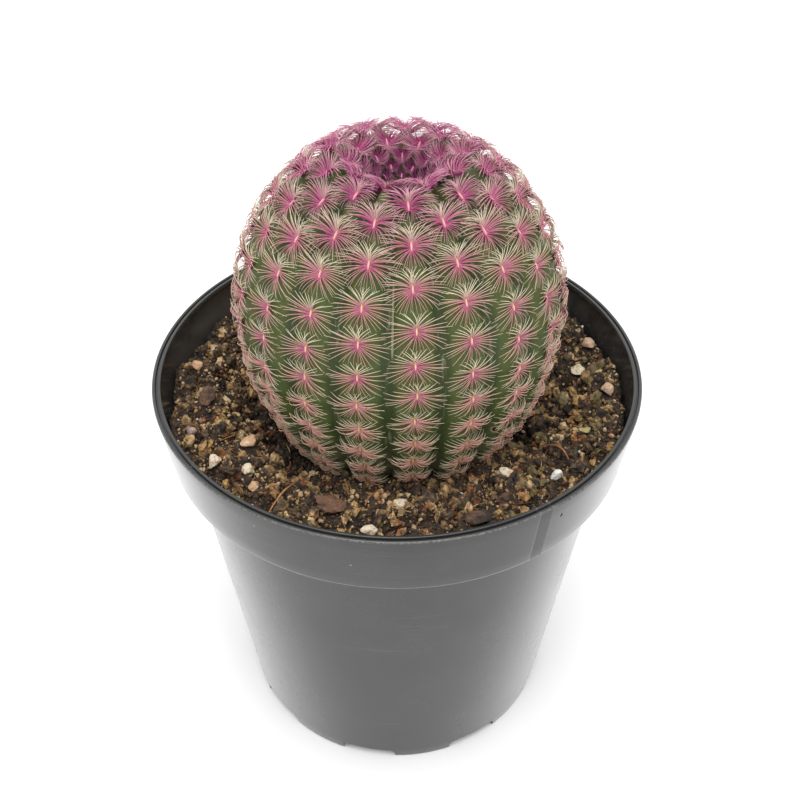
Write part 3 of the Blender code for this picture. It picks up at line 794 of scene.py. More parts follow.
def soil_point(azimuth, share):
    """The soil's surface at a share of the way from the stem (0) to the wall (1)."""
    height = soil_foot + SOIL_RISE_TO_WALL * math.sin(share * math.pi / 2.0)
    for centre, arc, depth in HOLLOWS:
        off = math.remainder(azimuth - math.radians(centre), 2.0 * math.pi)
        near = math.exp(-(off / math.radians(arc)) ** 2)
        height -= depth * near * math.exp(-((share - HOLLOW_SHARE) / HOLLOW_SPREAD) ** 2)
    stem_here = np.interp(-height, -outline[buried_from:, 1], outline[buried_from:, 0])
    inner = on_circle(float(stem_here) - 0.5 * RIB_DEPTH, azimuth, 0.0) + PLANT_OFFSET
    point = inner.lerp(on_circle(soil_edge, azimuth, 0.0), share)
    for centre, drop in SOIL_SAGS:
        off = math.remainder(azimuth - math.radians(centre), 2.0 * math.pi)
        height -= drop * math.exp(-(off / math.radians(SAG_ARC)) ** 2) * share
    for count, (tall, waves) in enumerate(SOIL_WAVES):
        spot = Vector((point.x * waves, point.y * waves, 5.3 * count))
        height += tall * noise.noise(spot) * min(1.0, 0.3 + 2.0 * share)
    for place, reach, level in loose_places:
        off = (point.xy - place).length / reach
        if off < 2.0:
            height += (level - BED_DROP - height) * math.exp(-off ** 4)
    return Vector((point.x, point.y, height))


soil_azimuths = [step * 2.0 * math.pi / SOIL_STEPS for step in range(SOIL_STEPS)]
top_rings = [[soil_point(azimuth, share) for azimuth in soil_azimuths]
             for share in np.linspace(1.0, 0.0, SOIL_RINGS)]
bottom = floor_top + GAP
ledge = ledge_top + GAP
foot_wall = FOOT_RADIUS + (wall_top_radius - FOOT_RADIUS) * bottom / band_foot
rings = [[on_circle(radius - WALL - GAP, azimuth, height) for azimuth in soil_azimuths]
         for radius, height in ((foot_wall, bottom), (wall_top_radius, ledge),
                                (band_radius_at(ledge), ledge))]
rings += top_rings
for down in np.linspace(buried_down, outline_down[-1], POCKET_RINGS + 1)[:-1]:
    radius, height, normal = skin_at(down)
    rings.append([on_circle(radius + normal.x * GAP, azimuth, height + normal.y * GAP)
                  + PLANT_OFFSET for azimuth in soil_azimuths])
pocket_floor = Vector((0.0, 0.0, outline[-1, 1] - GAP)) + PLANT_OFFSET

PEAT_BLACK = (0.010, 0.0065, 0.0045, 1.0)
PEAT_BROWN = (0.050, 0.027, 0.014, 1.0)
PEAT_RUST = (0.115, 0.052, 0.022, 1.0)

soil_finish, soil_tree, soil_shader = new_finish("damp_peat", Roughness=0.85)
coarse = use_group(soil_tree, uneven, Grain=0.0016, Depth=0.0006, Detail=6.0)
fine = use_group(soil_tree, uneven, Grain=0.0004, Depth=0.0, Detail=3.0)
colour = mixed(ranged(coarse["Shade"], 0.38, 0.62), PEAT_BLACK, PEAT_BROWN)
colour = mixed(ranged(fine["Shade"], 0.58, 0.78, 0.0, 0.7), colour, PEAT_RUST)
painted(soil_shader, Base_Color=colour, Normal=coarse["Normal"])

soil = add_piece("soil_bed", to_mesh("soil_bed", skin_rings(
    rings, (0.0, 0.0, bottom), pocket_floor), 80.0))
soil.data.materials.append(soil_finish)
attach(soil, "root")
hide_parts("potting_soil")


# ---------------------------------------------------------------- spine rows
# Along each rib sits a row of areoles: an upright strip of peach felt with a comb of thin
# stiff spines round it, magenta at the foot and cream at the tip. One piece for each rib.

SPINES_PER_AREOLE = 34
SPINE_REACH = 0.0056
SPINE_WIDTH = 0.0205
SPINES_WHEN_YOUNG = 64
SPINES_WHEN_OLD = 44
SPINE_CURL = 0.24
SPINE_DROOP = 0.10
SPINE_BULB = 0.75
AREOLE_HALF_LENGTH = 0.00095
AREOLE_HALF_WIDTH = 0.00030
FELT_HALF_LENGTH = 0.0010
FELT_HALF_WIDTH = 0.00022
FELT_HALF_DEPTH = 0.00040
INNERMOST_AREOLE = -2.4

SPINE_ROOT = (0.350, 0.060, 0.145, 1.0)
SPINE_MIDDLE = (0.440, 0.180, 0.180, 1.0)
SPINE_TIP = (0.640, 0.580, 0.420, 1.0)
SPINE_SIDE_TIP = (0.540, 0.400, 0.290, 1.0)
YOUNG_ROOT = (0.360, 0.030, 0.170, 1.0)
YOUNG_TIP = (0.600, 0.230, 0.360, 1.0)
# Painted shade on the spines deep in the sunken crown.
CROWN_PAINTED_SHADE = (0.150, 0.016, 0.085, 1.0)
OLD_ROOT = (0.520, 0.245, 0.185, 1.0)
OLD_TIP = (0.600, 0.530, 0.370, 1.0)
FELT_CREAM = (0.760, 0.520, 0.350, 1.0)
FELT_ORANGE = (0.620, 0.290, 0.090, 1.0)

spine_finish, spine_tree, spine_shader = new_finish("dry_spine", Roughness=0.5)
along = read_value(spine_tree, "along")
young = ranged(read_value(spine_tree, "young"), 0.0, 1.0)
# Painted shade: where young runs from one to two, spines deep in the crown are darker.
crown_painted_shade = ranged(read_value(spine_tree, "young"), 1.0, 2.0, 0.0, 0.75)
old = read_value(spine_tree, "old")
topside = read_value(spine_tree, "topside")
lot = read_value(spine_tree, "lot")
root = mixed(young, SPINE_ROOT, YOUNG_ROOT)
root = mixed(old, root, OLD_ROOT)
root = mixed(product(topside, 0.75), root, SPINE_TIP)
middle = mixed(old, SPINE_MIDDLE, OLD_ROOT)
middle = mixed(young, middle, YOUNG_ROOT)
middle = mixed(product(topside, 0.6), middle, SPINE_TIP)
tip = mixed(ranged(topside, 0.05, 0.45), SPINE_SIDE_TIP, SPINE_TIP)
tip = mixed(reckon("POWER", young, 2.0), tip, YOUNG_TIP)
tip = mixed(old, tip, OLD_TIP)
colour = mixed(ranged(along, 0.06, 0.34), root, middle)
late = reckon("MULTIPLY_ADD", topside, 0.35, along)
colour = mixed(ranged(late, 0.38, 0.98), colour, tip)
grain = use_group(spine_tree, uneven, Grain=0.0003, Depth=0.00001, Detail=2.0)
paler = product(lot, ranged(grain["Shade"], 0.3, 0.7))
colour = mixed(product(paler, 0.35), colour, SPINE_TIP)
colour = mixed(crown_painted_shade, colour, CROWN_PAINTED_SHADE)
painted(spine_shader, Base_Color=colour, Roughness=ranged(grain["Shade"], 0.3, 0.7, 0.42, 0.58))

felt_finish, felt_tree, felt_shader = new_finish("areole_felt", Roughness=0.9)
fuzz = use_group(felt_tree, uneven, Grain=0.00015, Depth=0.00008, Detail=3.0)
colour = mixed(ranged(read_value(felt_tree, "along"), 0.55, 0.85), FELT_CREAM, FELT_ORANGE)
colour = mixed(product(read_value(felt_tree, "old"), 0.6), colour, FELT_ORANGE)
colour = mixed(product(read_value(felt_tree, "young"), 0.7), colour, YOUNG_TIP)
colour = mixed(ranged(fuzz["Shade"], 0.5, 0.8, 0.0, 0.5), colour, SPINE_TIP)
painted(felt_shader, Base_Color=colour, Normal=fuzz["Normal"])


def random_number(tree, low, high, seed, index=None):
    """A random number for each element."""
    inputs = {2: low, 3: high, "Seed": seed}
    if index is not None:
        inputs["ID"] = index
    return put(tree, "FunctionNodeRandomValue", inputs, data_type="FLOAT").outputs[1]


def random_pick(tree, last, seed, index=None):
    """A random whole number from nought to the last, for each element."""
    inputs = {4: 0, 5: last, "Seed": seed}
    if index is not None:
        inputs["ID"] = index
    return put(tree, "FunctionNodeRandomValue", inputs, data_type="INT").outputs[2]


def tube(tree, curve, ring_steps, radius, **sizes):
    """A round, closed tube along a curve; Scale thins it."""
    ring = put(tree, "GeometryNodeCurvePrimitiveCircle",
               {"Resolution": ring_steps, "Radius": radius}).outputs[0]
    skin = put(tree, "GeometryNodeCurveToMesh",
               {"Curve": curve, "Profile Curve": ring, "Fill Caps": True, **sizes}).outputs[0]
    return put(tree, "GeometryNodeSetShadeSmooth", {"Geometry": skin}).outputs[0]


def one_of(choices, geometry):
    """Add a shape to those that a point can carry."""
    choices.id_data.links.new(
        put(choices.id_data, "GeometryNodeGeometryToInstance", {0: geometry}).outputs[0],
        choices.inputs[0])


combs, given, returned = new_grower("spine_combs", {
    "Areoles": ("Geometry", None), "Half Length": ("Float", 0.001),
    "Half Width": ("Float", 0.0003), "Thickness": ("Float", 0.02), "Curl": ("Float", 0.14),
    "Droop": ("Float", 0.08), "Bulb": ("Float", 0.7), "Full Reach": ("Float", 0.0056),
    "Felt Size": ("Vector", None), "Seed": ("Int", 1), "Spine Finish": ("Material", None),
    "Felt Finish": ("Material", None)})
copies = put(combs, "GeometryNodeDuplicateElements",
             {"Geometry": given["Areoles"], "Amount": named(combs, "spines")},
             domain="POINT").outputs
serial = put(combs, "GeometryNodeInputIndex").outputs[0]
jitter = random_number(combs, -0.35, 0.35, given["Seed"], serial)
share = reckon("DIVIDE", total(copies["Duplicate Index"], total(jitter, 0.5)),
               named(combs, "spines"))
even = product(share, 2.0 * math.pi)
angle = reckon("MULTIPLY_ADD", reckon("SINE", product(even, 2.0)), 0.14, even)
ahead = reckon("COSINE", angle)
aside = reckon("SINE", angle)
out = named(combs, "out", "FLOAT_VECTOR")
up = named(combs, "up", "FLOAT_VECTOR")
side = reckon_vector("CROSS_PRODUCT", up, out)
size = named(combs, "size")
above = reckon_vector("SCALE", up, Scale=ahead)
beside = reckon_vector("SCALE", side, Scale=aside)
lean = total(named(combs, "lean"), random_number(combs, -0.10, 0.12, 11, serial))
lean = reckon("MULTIPLY_ADD", reckon("MAXIMUM", ahead, 0.0), 0.25, lean)
heading = reckon_vector("ADD", reckon_vector("ADD", above, beside),
                        reckon_vector("SCALE", out, Scale=lean))
skyward = vector(combs, 0.0, 0.0, named(combs, "skyward"))
heading = reckon_vector("ADD", heading, skyward)
foot = reckon_vector("ADD", reckon_vector("SCALE", above, Scale=given["Half Length"]),
                     reckon_vector("SCALE", beside, Scale=given["Half Width"]))
foot = reckon_vector("SCALE", foot, Scale=size)
spread = put(combs, "GeometryNodeSetPosition", {"Geometry": copies["Geometry"],
                                                "Offset": foot}).outputs[0]
topside = reckon("POWER", reckon("MAXIMUM", ahead, 0.0), 1.5)
underside = reckon("POWER", reckon("MAXIMUM", product(ahead, -1.0), 0.0), 2.0)
trim = reckon("MULTIPLY_ADD", named(combs, "old"), -0.25, -0.50)
shorter = reckon("MULTIPLY_ADD", topside, trim, 1.0)
shorter = reckon("MULTIPLY_ADD", underside, -0.32, shorter)
reach = product(named(combs, "reach"), shorter, random_number(combs, 0.84, 1.10, 23, serial))
tagged = stored(spread, "topside", topside)
tagged = stored(tagged, "lot", random_number(combs, 0.0, 1.0, 37, serial))
aimed = put(combs, "FunctionNodeAxesToRotation",
            {"Primary Axis": heading, "Secondary Axis": out},
            primary_axis="X", secondary_axis="Z").outputs[0]
# Six shapes of spine: three bends, and each of them to either hand.
needles = put(combs, "GeometryNodeJoinGeometry")
for hand in (1.0, -1.0):
    for bend in (0.4, 1.0, 1.6):
        bow = product(given["Curl"], bend)
        middle = vector(combs, 0.5, product(given["Droop"], -hand * bend), bow)
        end = vector(combs, 0.97, 0.0, product(bow, -0.6))
        bezier = put(combs, "GeometryNodeCurveQuadraticBezier",
                     {"Resolution": 6, "Start": (0.0, 0.0, 0.0), "Middle": middle,
                      "End": end}).outputs[0]
        walk = put(combs, "GeometryNodeSplineParameter").outputs["Factor"]
        stroke = stored(bezier, "along", walk)
        taper = reckon("MULTIPLY_ADD", reckon("POWER", walk, 1.4), -0.75, 1.0)
        taper = total(taper, ranged(walk, 0.30, 0.0, 0.0, given["Bulb"]))
        one_of(needles, tube(combs, stroke, 4, given["Thickness"], Scale=taper))
which = random_pick(combs, 2, 5, serial)
which = total(which, product(reckon("LESS_THAN", aside, 0.0), 3.0))
stout = reckon("POWER", reckon("DIVIDE", given["Full Reach"], reach), 0.8)
stout = product(stout, reckon("MULTIPLY_ADD", underside, -0.40, 1.0))
bowing = reckon("MULTIPLY_ADD", named(combs, "old"), 0.7, 1.0)
planted = put(combs, "GeometryNodeInstanceOnPoints",
              {"Points": tagged, "Instance": needles.outputs[0], "Pick Instance": True,
               "Instance Index": which, "Rotation": aimed,
               "Scale": vector(combs, reach, product(reach, stout),
                               product(reach, bowing))}).outputs[0]
spines = coated(planted, given["Spine Finish"])
bean = put(combs, "GeometryNodeMeshIcoSphere", {"Radius": 1.0, "Subdivisions": 2}).outputs[0]
rise = axes_of(here_in(combs))["X"]
bean = stored(bean, "along", reckon("MULTIPLY_ADD", rise, 0.5, 0.5))
bean = put(combs, "GeometryNodeSetShadeSmooth", {"Geometry": bean}).outputs[0]
upright = put(combs, "FunctionNodeAxesToRotation", {"Primary Axis": up, "Secondary Axis": out},
              primary_axis="X", secondary_axis="Z").outputs[0]
pads = put(combs, "GeometryNodeInstanceOnPoints",
           {"Points": given["Areoles"], "Instance": bean, "Rotation": upright,
            "Scale": reckon_vector("SCALE", given["Felt Size"], Scale=size)}).outputs[0]
pads = coated(pads, given["Felt Finish"])
both = put(combs, "GeometryNodeJoinGeometry")
combs.links.new(spines, both.inputs[0])
combs.links.new(pads, both.inputs[0])
combs.links.new(both.outputs[0], returned["Geometry"])


def areole(azimuth, turn, lift=0.0):
    """The place of an areole and the values that its spines grow by."""
    radius, height, normal = skin_at(areole_down(turn))
    fade = min(1.0, radius / RIB_FADE_RADIUS)
    radius += normal.x * (SWELL_HEIGHT * fade + lift)
    height += normal.y * (SWELL_HEIGHT * fade + lift)
    return {
        "place": on_circle(radius, azimuth, height) + PLANT_OFFSET,
        "out": on_circle(normal.x, azimuth, normal.y),
        "up": on_circle(-normal.y, azimuth, normal.x),
        "spines": round(float(np.interp(turn, (-2.5, -1.0, 1.0, 3.0, 5.0, 8.0),
                                        (30, SPINES_WHEN_YOUNG, SPINES_WHEN_YOUNG,
                                         SPINES_PER_AREOLE, SPINES_PER_AREOLE,
                                         SPINES_WHEN_OLD)))),
        "lean": float(np.interp(turn, (-3.0, -1.5, -0.5, 0.3, 1.0, 2.0, 5.0, 9.0),
                                (1.00, 0.90, 0.46, 0.36, 0.32, 0.28, 0.22, 0.04))),
        "skyward": float(np.interp(turn, (-1.2, -0.4, 0.6, 1.4), (0.9, 0.36, 0.10, 0.0))),
        "reach": SPINE_REACH * float(np.interp(
            turn, (-2.5, -1.5, -0.5, 1.0, 5.0, 9.0), (0.38, 0.56, 0.84, 1.08, 0.95, 0.64))),
        "size": float(np.interp(turn, (-3.0, 0.0, 2.0, 4.5, 8.0), (0.8, 1.2, 1.0, 1.0, 1.35))),
        # Young above one marks an areole deep in the crown, whose spines get painted shade.
        "young": float(np.interp(turn, (-2.0, -0.7, -0.4, 1.0, 3.0),
                                 (2.0, 1.1, 1.0, 0.45, 0.0))),
        "old": float(np.interp(turn, (4.5, 7.8), (0.0, 1.0))),
    }


def carrier(name, areoles):
    """A mesh of loose points, one for each areole, that holds their values."""
    mesh = bpy.data.meshes.new(name)
    mesh.from_pydata([item["place"] for item in areoles], [], [])
    for key in ("out", "up"):
        data = np.array([item[key] for item in areoles], np.float32).ravel()
        mesh.attributes.new(key, "FLOAT_VECTOR", "POINT").data.foreach_set("vector", data)
    for key in ("spines", "lean", "skyward", "reach", "size", "young", "old"):
        data = np.array([item[key] for item in areoles], np.float32)
        mesh.attributes.new(key, "FLOAT", "POINT").data.foreach_set("value", data)
    return mesh


comb_sizes = {"Half_Length": AREOLE_HALF_LENGTH, "Half_Width": AREOLE_HALF_WIDTH,
              "Thickness": SPINE_WIDTH, "Curl": SPINE_CURL, "Droop": SPINE_DROOP, "Bulb": SPINE_BULB,
              "Full_Reach": SPINE_REACH,
              "Felt_Size": (FELT_HALF_LENGTH, FELT_HALF_WIDTH, FELT_HALF_DEPTH),
              "Spine_Finish": spine_finish, "Felt_Finish": felt_finish}
growth = random.Random(4)
for rib in range(RIB_COUNT):
    azimuth = FRONT_RIB_AZIMUTH + rib * 2.0 * math.pi / RIB_COUNT
    turn = INNERMOST_AREOLE + (rib * STEP_PER_RIB - INNERMOST_AREOLE) % 1.0
    row = []
    lowest = soil_point(azimuth, 0.0).z + 0.0008
    while skin_at(areole_down(turn))[1] > lowest:
        grown_turn = turn + growth.uniform(-0.04, 0.04)
        row.append(areole(azimuth + math.radians(growth.uniform(-0.5, 0.5)), grown_turn))
        row[-1]["reach"] *= growth.uniform(0.94, 1.05)
        turn += 1.0
    comb = grown(f"spine_comb_{rib + 1:02d}", carrier(f"areoles_{rib + 1:02d}", row), combs,
                 Seed=100 + rib, **comb_sizes)
    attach(comb, "root")
    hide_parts(f"spine_row_{rib + 1:02d}")


# ---------------------------------------------------------------- crown spines
# The brush of youngest spines at the growing point, on areoles too crowded to count. They
# stand upright in pale wool on the floor of the sunken crown.

CROWN_AREOLES = 12
CROWN_SPREAD = 0.0024
GOLDEN_TURN = math.pi * (3.0 - math.sqrt(5.0))

# The first points of the outline run over the floor of the crown.
crown_floor = outline[:60]
tuft = []
for bud in range(CROWN_AREOLES):
    radius = CROWN_SPREAD * math.sqrt((bud + 0.5) / CROWN_AREOLES)
    azimuth = bud * GOLDEN_TURN
    height = float(np.interp(radius, crown_floor[:, 0], crown_floor[:, 1]))
    tuft.append({
        "place": on_circle(radius, azimuth, height) + PLANT_OFFSET,
        "out": on_circle(0.25 * radius / CROWN_SPREAD, azimuth, 1.0).normalized(),
        "up": on_circle(-1.0, azimuth, 0.0),
        "spines": 12, "lean": 2.4 + growth.uniform(-0.6, 0.6),
        "skyward": 1.0, "reach": 0.0024 * growth.uniform(0.8, 1.2), "size": 0.5,
        # Young of two: the brush's spines get the crown's painted shade in full.
        "young": 2.0, "old": 0.0,
    })
brush = grown("crown_brush", carrier("crown_areoles", tuft), combs, Seed=77, **comb_sizes)
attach(brush, "root")
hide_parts("crown_spines")


# ---------------------------------------------------------------- soil crumbs
# The top of the mix is loose: crumbs of peat and composted bark in three sizes, pale grit,
# white perlite and short root hairs, all sunk a little into the bed.

SHEET_RINGS = 24
# A full turn, in radians, for pieces that may lie any way round.
ALL_ROUND = 6.283


def random_vector(tree, low, high, seed):
    """Three random numbers for each element."""
    return put(tree, "FunctionNodeRandomValue", {0: low, 1: high, "Seed": seed},
               data_type="FLOAT_VECTOR").outputs[0]


def soil_sheet(name, low_share, high_share, margin=0.0):
    """The part of the soil's surface that lies clear of the larger loose pieces."""
    shares = np.linspace(low_share, high_share, SHEET_RINGS)
    bm = bmesh.new()
    grid = [[bm.verts.new(soil_point(azimuth, share)) for azimuth in soil_azimuths[::2]]
            for share in shares]
    for lower, upper in zip(grid, grid[1:]):
        for here in range(len(lower)):
            there = (here + 1) % len(lower)
            corners = (lower[here], lower[there], upper[there], upper[here])
            centre = sum((corner.co for corner in corners), Vector()) / 4.0
            if not any((centre.xy - place).length < reach + margin
                       for place, reach, level in loose_places):
                bm.faces.new(corners)
    bmesh.ops.recalc_face_normals(bm, faces=bm.faces[:])
    if sum(face.normal.z for face in bm.faces) < 0.0:
        bmesh.ops.reverse_faces(bm, faces=bm.faces[:])
    mesh = bpy.data.meshes.new(name)
    bm.to_mesh(mesh)
    bm.free()
    return mesh


scatter, given, returned = new_grower("scattered_lumps", {
    "Ground": ("Geometry", None), "Density": ("Float", 1.0e5), "Smallest": ("Float", 0.001),
    "Largest": ("Float", 0.002), "Roughness": ("Float", 0.5), "Lift": ("Float", 0.1),
    "Segments": ("Int", 6), "Rings": ("Int", 5), "Seed": ("Int", 0),
    "Finish": ("Material", None)})
spread = put(scatter, "GeometryNodeDistributePointsOnFaces",
             {"Mesh": given["Ground"], "Density": given["Density"], "Seed": given["Seed"]},
             distribute_method="RANDOM").outputs
draw = reckon("POWER", random_number(scatter, 0.0, 1.0, given["Seed"]), 1.7)
size = put(scatter, "ShaderNodeMapRange",
           {0: draw, 3: given["Smallest"], 4: given["Largest"]}).outputs[0]
marked = stored(spread["Points"], "shade", random_number(scatter, 0.0, 1.0, 91))
sunk = reckon_vector("SCALE", spread["Normal"], Scale=product(size, given["Lift"]))
laid = put(scatter, "GeometryNodeSetPosition", {"Geometry": marked, "Offset": sunk}).outputs[0]
lumps = put(scatter, "GeometryNodeJoinGeometry")
for variant in range(4):
    ball = put(scatter, "GeometryNodeMeshUVSphere",
               {"Segments": given["Segments"], "Rings": given["Rings"],
                "Radius": 0.5}).outputs[0]
    spot = here_in(scatter)
    moved = reckon_vector("ADD", spot, (3.7 * variant, 1.3, 0.0))
    rough = put(scatter, "ShaderNodeTexNoise", {"Vector": moved, "Scale": 2.2, "Detail": 2.0})
    shove = product(reckon("SUBTRACT", rough.outputs["Fac"], 0.5),
                    product(given["Roughness"], 4.0))
    ball = put(scatter, "GeometryNodeSetPosition",
               {"Geometry": ball, "Offset": reckon_vector("SCALE", spot, Scale=shove)})
    one_of(lumps, ball.outputs[0])
which = random_pick(scatter, 3, 17)
tumble = random_vector(scatter, (0.0, 0.0, 0.0), (ALL_ROUND, ALL_ROUND, ALL_ROUND), 3)
shape = random_vector(scatter, (0.65, 0.55, 0.55), (1.25, 1.0, 0.95), 29)
strewn = put(scatter, "GeometryNodeInstanceOnPoints",
             {"Points": laid, "Instance": lumps.outputs[0], "Pick Instance": True,
              "Instance Index": which, "Rotation": put(scatter, "FunctionNodeEulerToRotation",
                                                       {0: tumble}).outputs[0],
              "Scale": reckon_vector("SCALE", shape, Scale=size)}).outputs[0]
scatter.links.new(coated(strewn, given["Finish"]), returned["Geometry"])


def ramp(tree, value, stops):
    """Colours blended along a value: pairs of place and colour."""
    node = put(tree, "ShaderNodeValToRGB", {0: value})
    elements = node.color_ramp.elements
    while len(elements) < len(stops):
        elements.new(0.5)
    for element, (place, colour) in zip(elements, stops):
        element.position = place
        element.color = colour
    return node.outputs[0]


CRUMB_COLOURS = (
    (0.00, (0.010, 0.007, 0.005, 1.0)), (0.28, (0.044, 0.027, 0.016, 1.0)),
    (0.52, (0.098, 0.060, 0.031, 1.0)), (0.72, (0.245, 0.142, 0.058, 1.0)),
    (0.88, (0.410, 0.255, 0.110, 1.0)), (1.00, (0.540, 0.400, 0.225, 1.0)))
CRUMB_RUST = (0.240, 0.085, 0.028, 1.0)
CRUMB_GOLD = (0.420, 0.240, 0.075, 1.0)
CRUMB_OLIVE = (0.160, 0.125, 0.048, 1.0)

crumb_finish, crumb_tree, crumb_shader = new_finish("peat_crumbs", Roughness=0.8)
shade = read_value(crumb_tree, "shade")
coarse = use_group(crumb_tree, uneven, Grain=0.0009, Depth=0.0003, Detail=5.0)
patches = use_group(crumb_tree, uneven, Grain=0.0035, Depth=0.0, Detail=4.0)
axes = axes_of(own_place(crumb_tree))
light = reckon("MULTIPLY_ADD", patches["Shade"], 2.1,
               reckon("MULTIPLY_ADD", coarse["Shade"], 1.3, -1.58))
light = total(light, ranged(axes[0], 0.01, -0.03, 0.02, 0.13))
light = reckon("MULTIPLY_ADD", shade, 0.75, light)
# Painted shade: crumbs darker the lower they lie below the soil's foot, in the hollows beside the
# plant.
light = total(light, ranged(axes[2], soil_foot - 0.0005, soil_foot - 0.0040, 0.0, -0.55))
colour = ramp(crumb_tree, light, CRUMB_COLOURS)
veins = put(crumb_tree, "ShaderNodeTexNoise",
            {"Vector": own_place(crumb_tree), "Scale": 260.0, "Detail": 3.0}).outputs["Color"]
veins = put(crumb_tree, "ShaderNodeSeparateColor", {0: veins}).outputs
golden = product(ranged(veins[1], 0.50, 0.64, 0.0, 0.6), ranged(light, 0.45, 0.75))
colour = mixed(golden, colour, CRUMB_GOLD)
rusty = ranged(veins[2], 0.60, 0.68, 0.0, 0.8)
colour = mixed(rusty, colour, CRUMB_RUST)
olive = product(ranged(shade, 0.40, 0.45), ranged(axes[0], 0.005, 0.03, 0.1, 0.7))
olive = product(olive, ranged(shade, 0.64, 0.58))
colour = mixed(olive, colour, CRUMB_OLIVE)
painted(crumb_shader, Base_Color=colour, Normal=coarse["Normal"])

PERLITE = (0.580, 0.540, 0.470, 1.0)
PERLITE_GREY = (0.420, 0.390, 0.350, 1.0)
perlite_finish, perlite_tree, perlite_shader = new_finish("perlite", Roughness=0.8)
coarse = use_group(perlite_tree, uneven, Grain=0.0005, Depth=0.0001, Detail=4.0)
painted(perlite_shader,
        Base_Color=mixed(ranged(coarse["Shade"], 0.4, 0.65), PERLITE, PERLITE_GREY),
        Normal=coarse["Normal"])

GRIT_COLOURS = (
    (0.00, (0.180, 0.130, 0.100, 1.0)), (0.30, (0.330, 0.200, 0.100, 1.0)),
    (0.60, (0.480, 0.330, 0.190, 1.0)), (1.00, (0.620, 0.500, 0.360, 1.0)))
grit_finish, grit_tree, grit_shader = new_finish("pale_grit", Roughness=0.7)
coarse = use_group(grit_tree, uneven, Grain=0.0008, Depth=0.0001, Detail=4.0)
light = reckon("MULTIPLY_ADD", coarse["Shade"], 0.8, -0.4)
light = total(light, read_value(grit_tree, "shade"))
painted(grit_shader, Base_Color=ramp(grit_tree, light, GRIT_COLOURS), Normal=coarse["Normal"])

# Name, density per square metre, smallest, largest, roughness, lift, mesh fineness, outer
# share of the bed, distance from the larger pieces, slot and finish.
LOOSE_MATTER = (
    ("clods", 3.0e4, 0.0022, 0.0046, 0.85, 0.15, (10, 7), 0.93, 0.0012, "peat_soil", crumb_finish),
    ("crumbs_coarse", 1.6e5, 0.0012, 0.0025, 0.80, 0.30, (8, 6), 0.955, 0.0004, "peat_soil",
     crumb_finish),
    ("crumbs_medium", 8.0e5, 0.0006, 0.0012, 0.60, 0.40, (5, 3), 0.975, -0.0004, "peat_soil",
     crumb_finish),
    ("crumbs_fine", 1.35e6, 0.00030, 0.0006, 0.40, 0.60, (4, 3), 0.985, -0.0008, "peat_soil",
     crumb_finish),
    ("pale_grit", 1.8e4, 0.0007, 0.0015, 0.35, 0.50, (9, 6), 0.965, 0.0003, "pumice_grit",
     grit_finish),
    ("perlite_specks", 2.2e4, 0.0004, 0.0009, 0.30, 0.75, (7, 5), 0.975, 0.0, "pumice_grit",
     perlite_finish),
)
for count, (name, density, smallest, largest, roughness, lift, fineness, outer, margin,
            slot_name, finish) in enumerate(LOOSE_MATTER):
    ground = soil_sheet(name + "_ground", 0.06, outer, margin)
    loose = grown(name, ground, scatter, Density=density,
                  Smallest=smallest, Largest=largest, Roughness=roughness, Lift=lift,
                  Segments=fineness[0], Rings=fineness[1], Seed=40 + count, Finish=finish)
    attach(loose, "root")

strands, given, returned = new_grower("scattered_strands", {
    "Ground": ("Geometry", None), "Density": ("Float", 3.0e4), "Shortest": ("Float", 0.002),
    "Longest": ("Float", 0.006), "Thickness": ("Float", 0.0001), "Seed": ("Int", 0),
    "Finish": ("Material", None)})
spread = put(strands, "GeometryNodeDistributePointsOnFaces",
             {"Mesh": given["Ground"], "Density": given["Density"], "Seed": given["Seed"]},
             distribute_method="RANDOM").outputs
marked = stored(spread["Points"], "shade", random_number(strands, 0.0, 1.0, 8))
raised = reckon_vector("SCALE", spread["Normal"], Scale=0.0006)
laid = put(strands, "GeometryNodeSetPosition", {"Geometry": marked, "Offset": raised}).outputs[0]
hairs = put(strands, "GeometryNodeJoinGeometry")
for bend, arch in ((0.25, 0.10), (-0.35, 0.22), (0.10, -0.15)):
    bezier = put(strands, "GeometryNodeCurveQuadraticBezier",
                 {"Resolution": 7, "Start": (-0.5, 0.0, -0.05), "Middle": (0.0, bend, arch),
                  "End": (0.5, 0.05, -0.08)}).outputs[0]
    one_of(hairs, tube(strands, bezier, 5, 0.024))
which = random_pick(strands, 2, 61)
twist = random_vector(strands, (-0.35, -0.35, 0.0), (0.35, 0.35, ALL_ROUND), 62)
length = put(strands, "ShaderNodeMapRange",
             {0: reckon("POWER", random_number(strands, 0.0, 1.0, 63), 1.6), 3: given["Shortest"],
              4: given["Longest"]}).outputs[0]
strewn = put(strands, "GeometryNodeInstanceOnPoints",
             {"Points": laid, "Instance": hairs.outputs[0], "Pick Instance": True,
              "Instance Index": which, "Rotation": put(strands, "FunctionNodeEulerToRotation",
                                                       {0: twist}).outputs[0],
              "Scale": vector(strands, length, length, length)}).outputs[0]
strands.links.new(coated(strewn, given["Finish"]), returned["Geometry"])

ROOT_COLOURS = (
    (0.00, (0.050, 0.024, 0.012, 1.0)), (0.45, (0.150, 0.062, 0.022, 1.0)),
    (0.75, (0.320, 0.130, 0.045, 1.0)), (1.00, (0.500, 0.330, 0.180, 1.0)))
root_finish, root_tree, root_shader = new_finish("root_hairs", Roughness=0.7)
coarse = use_group(root_tree, uneven, Grain=0.0010, Depth=0.00008, Detail=3.0)
light = reckon("MULTIPLY_ADD", coarse["Shade"], 0.5, -0.25)
light = total(light, read_value(root_tree, "shade"))
painted(root_shader, Base_Color=ramp(root_tree, light, ROOT_COLOURS), Normal=coarse["Normal"])

hairs = grown("root_hairs", soil_sheet("hair_ground", 0.22, 0.90), strands, Density=3.2e4,
              Shortest=0.0016, Longest=0.0060, Seed=5, Finish=root_finish)
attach(hairs, "root")


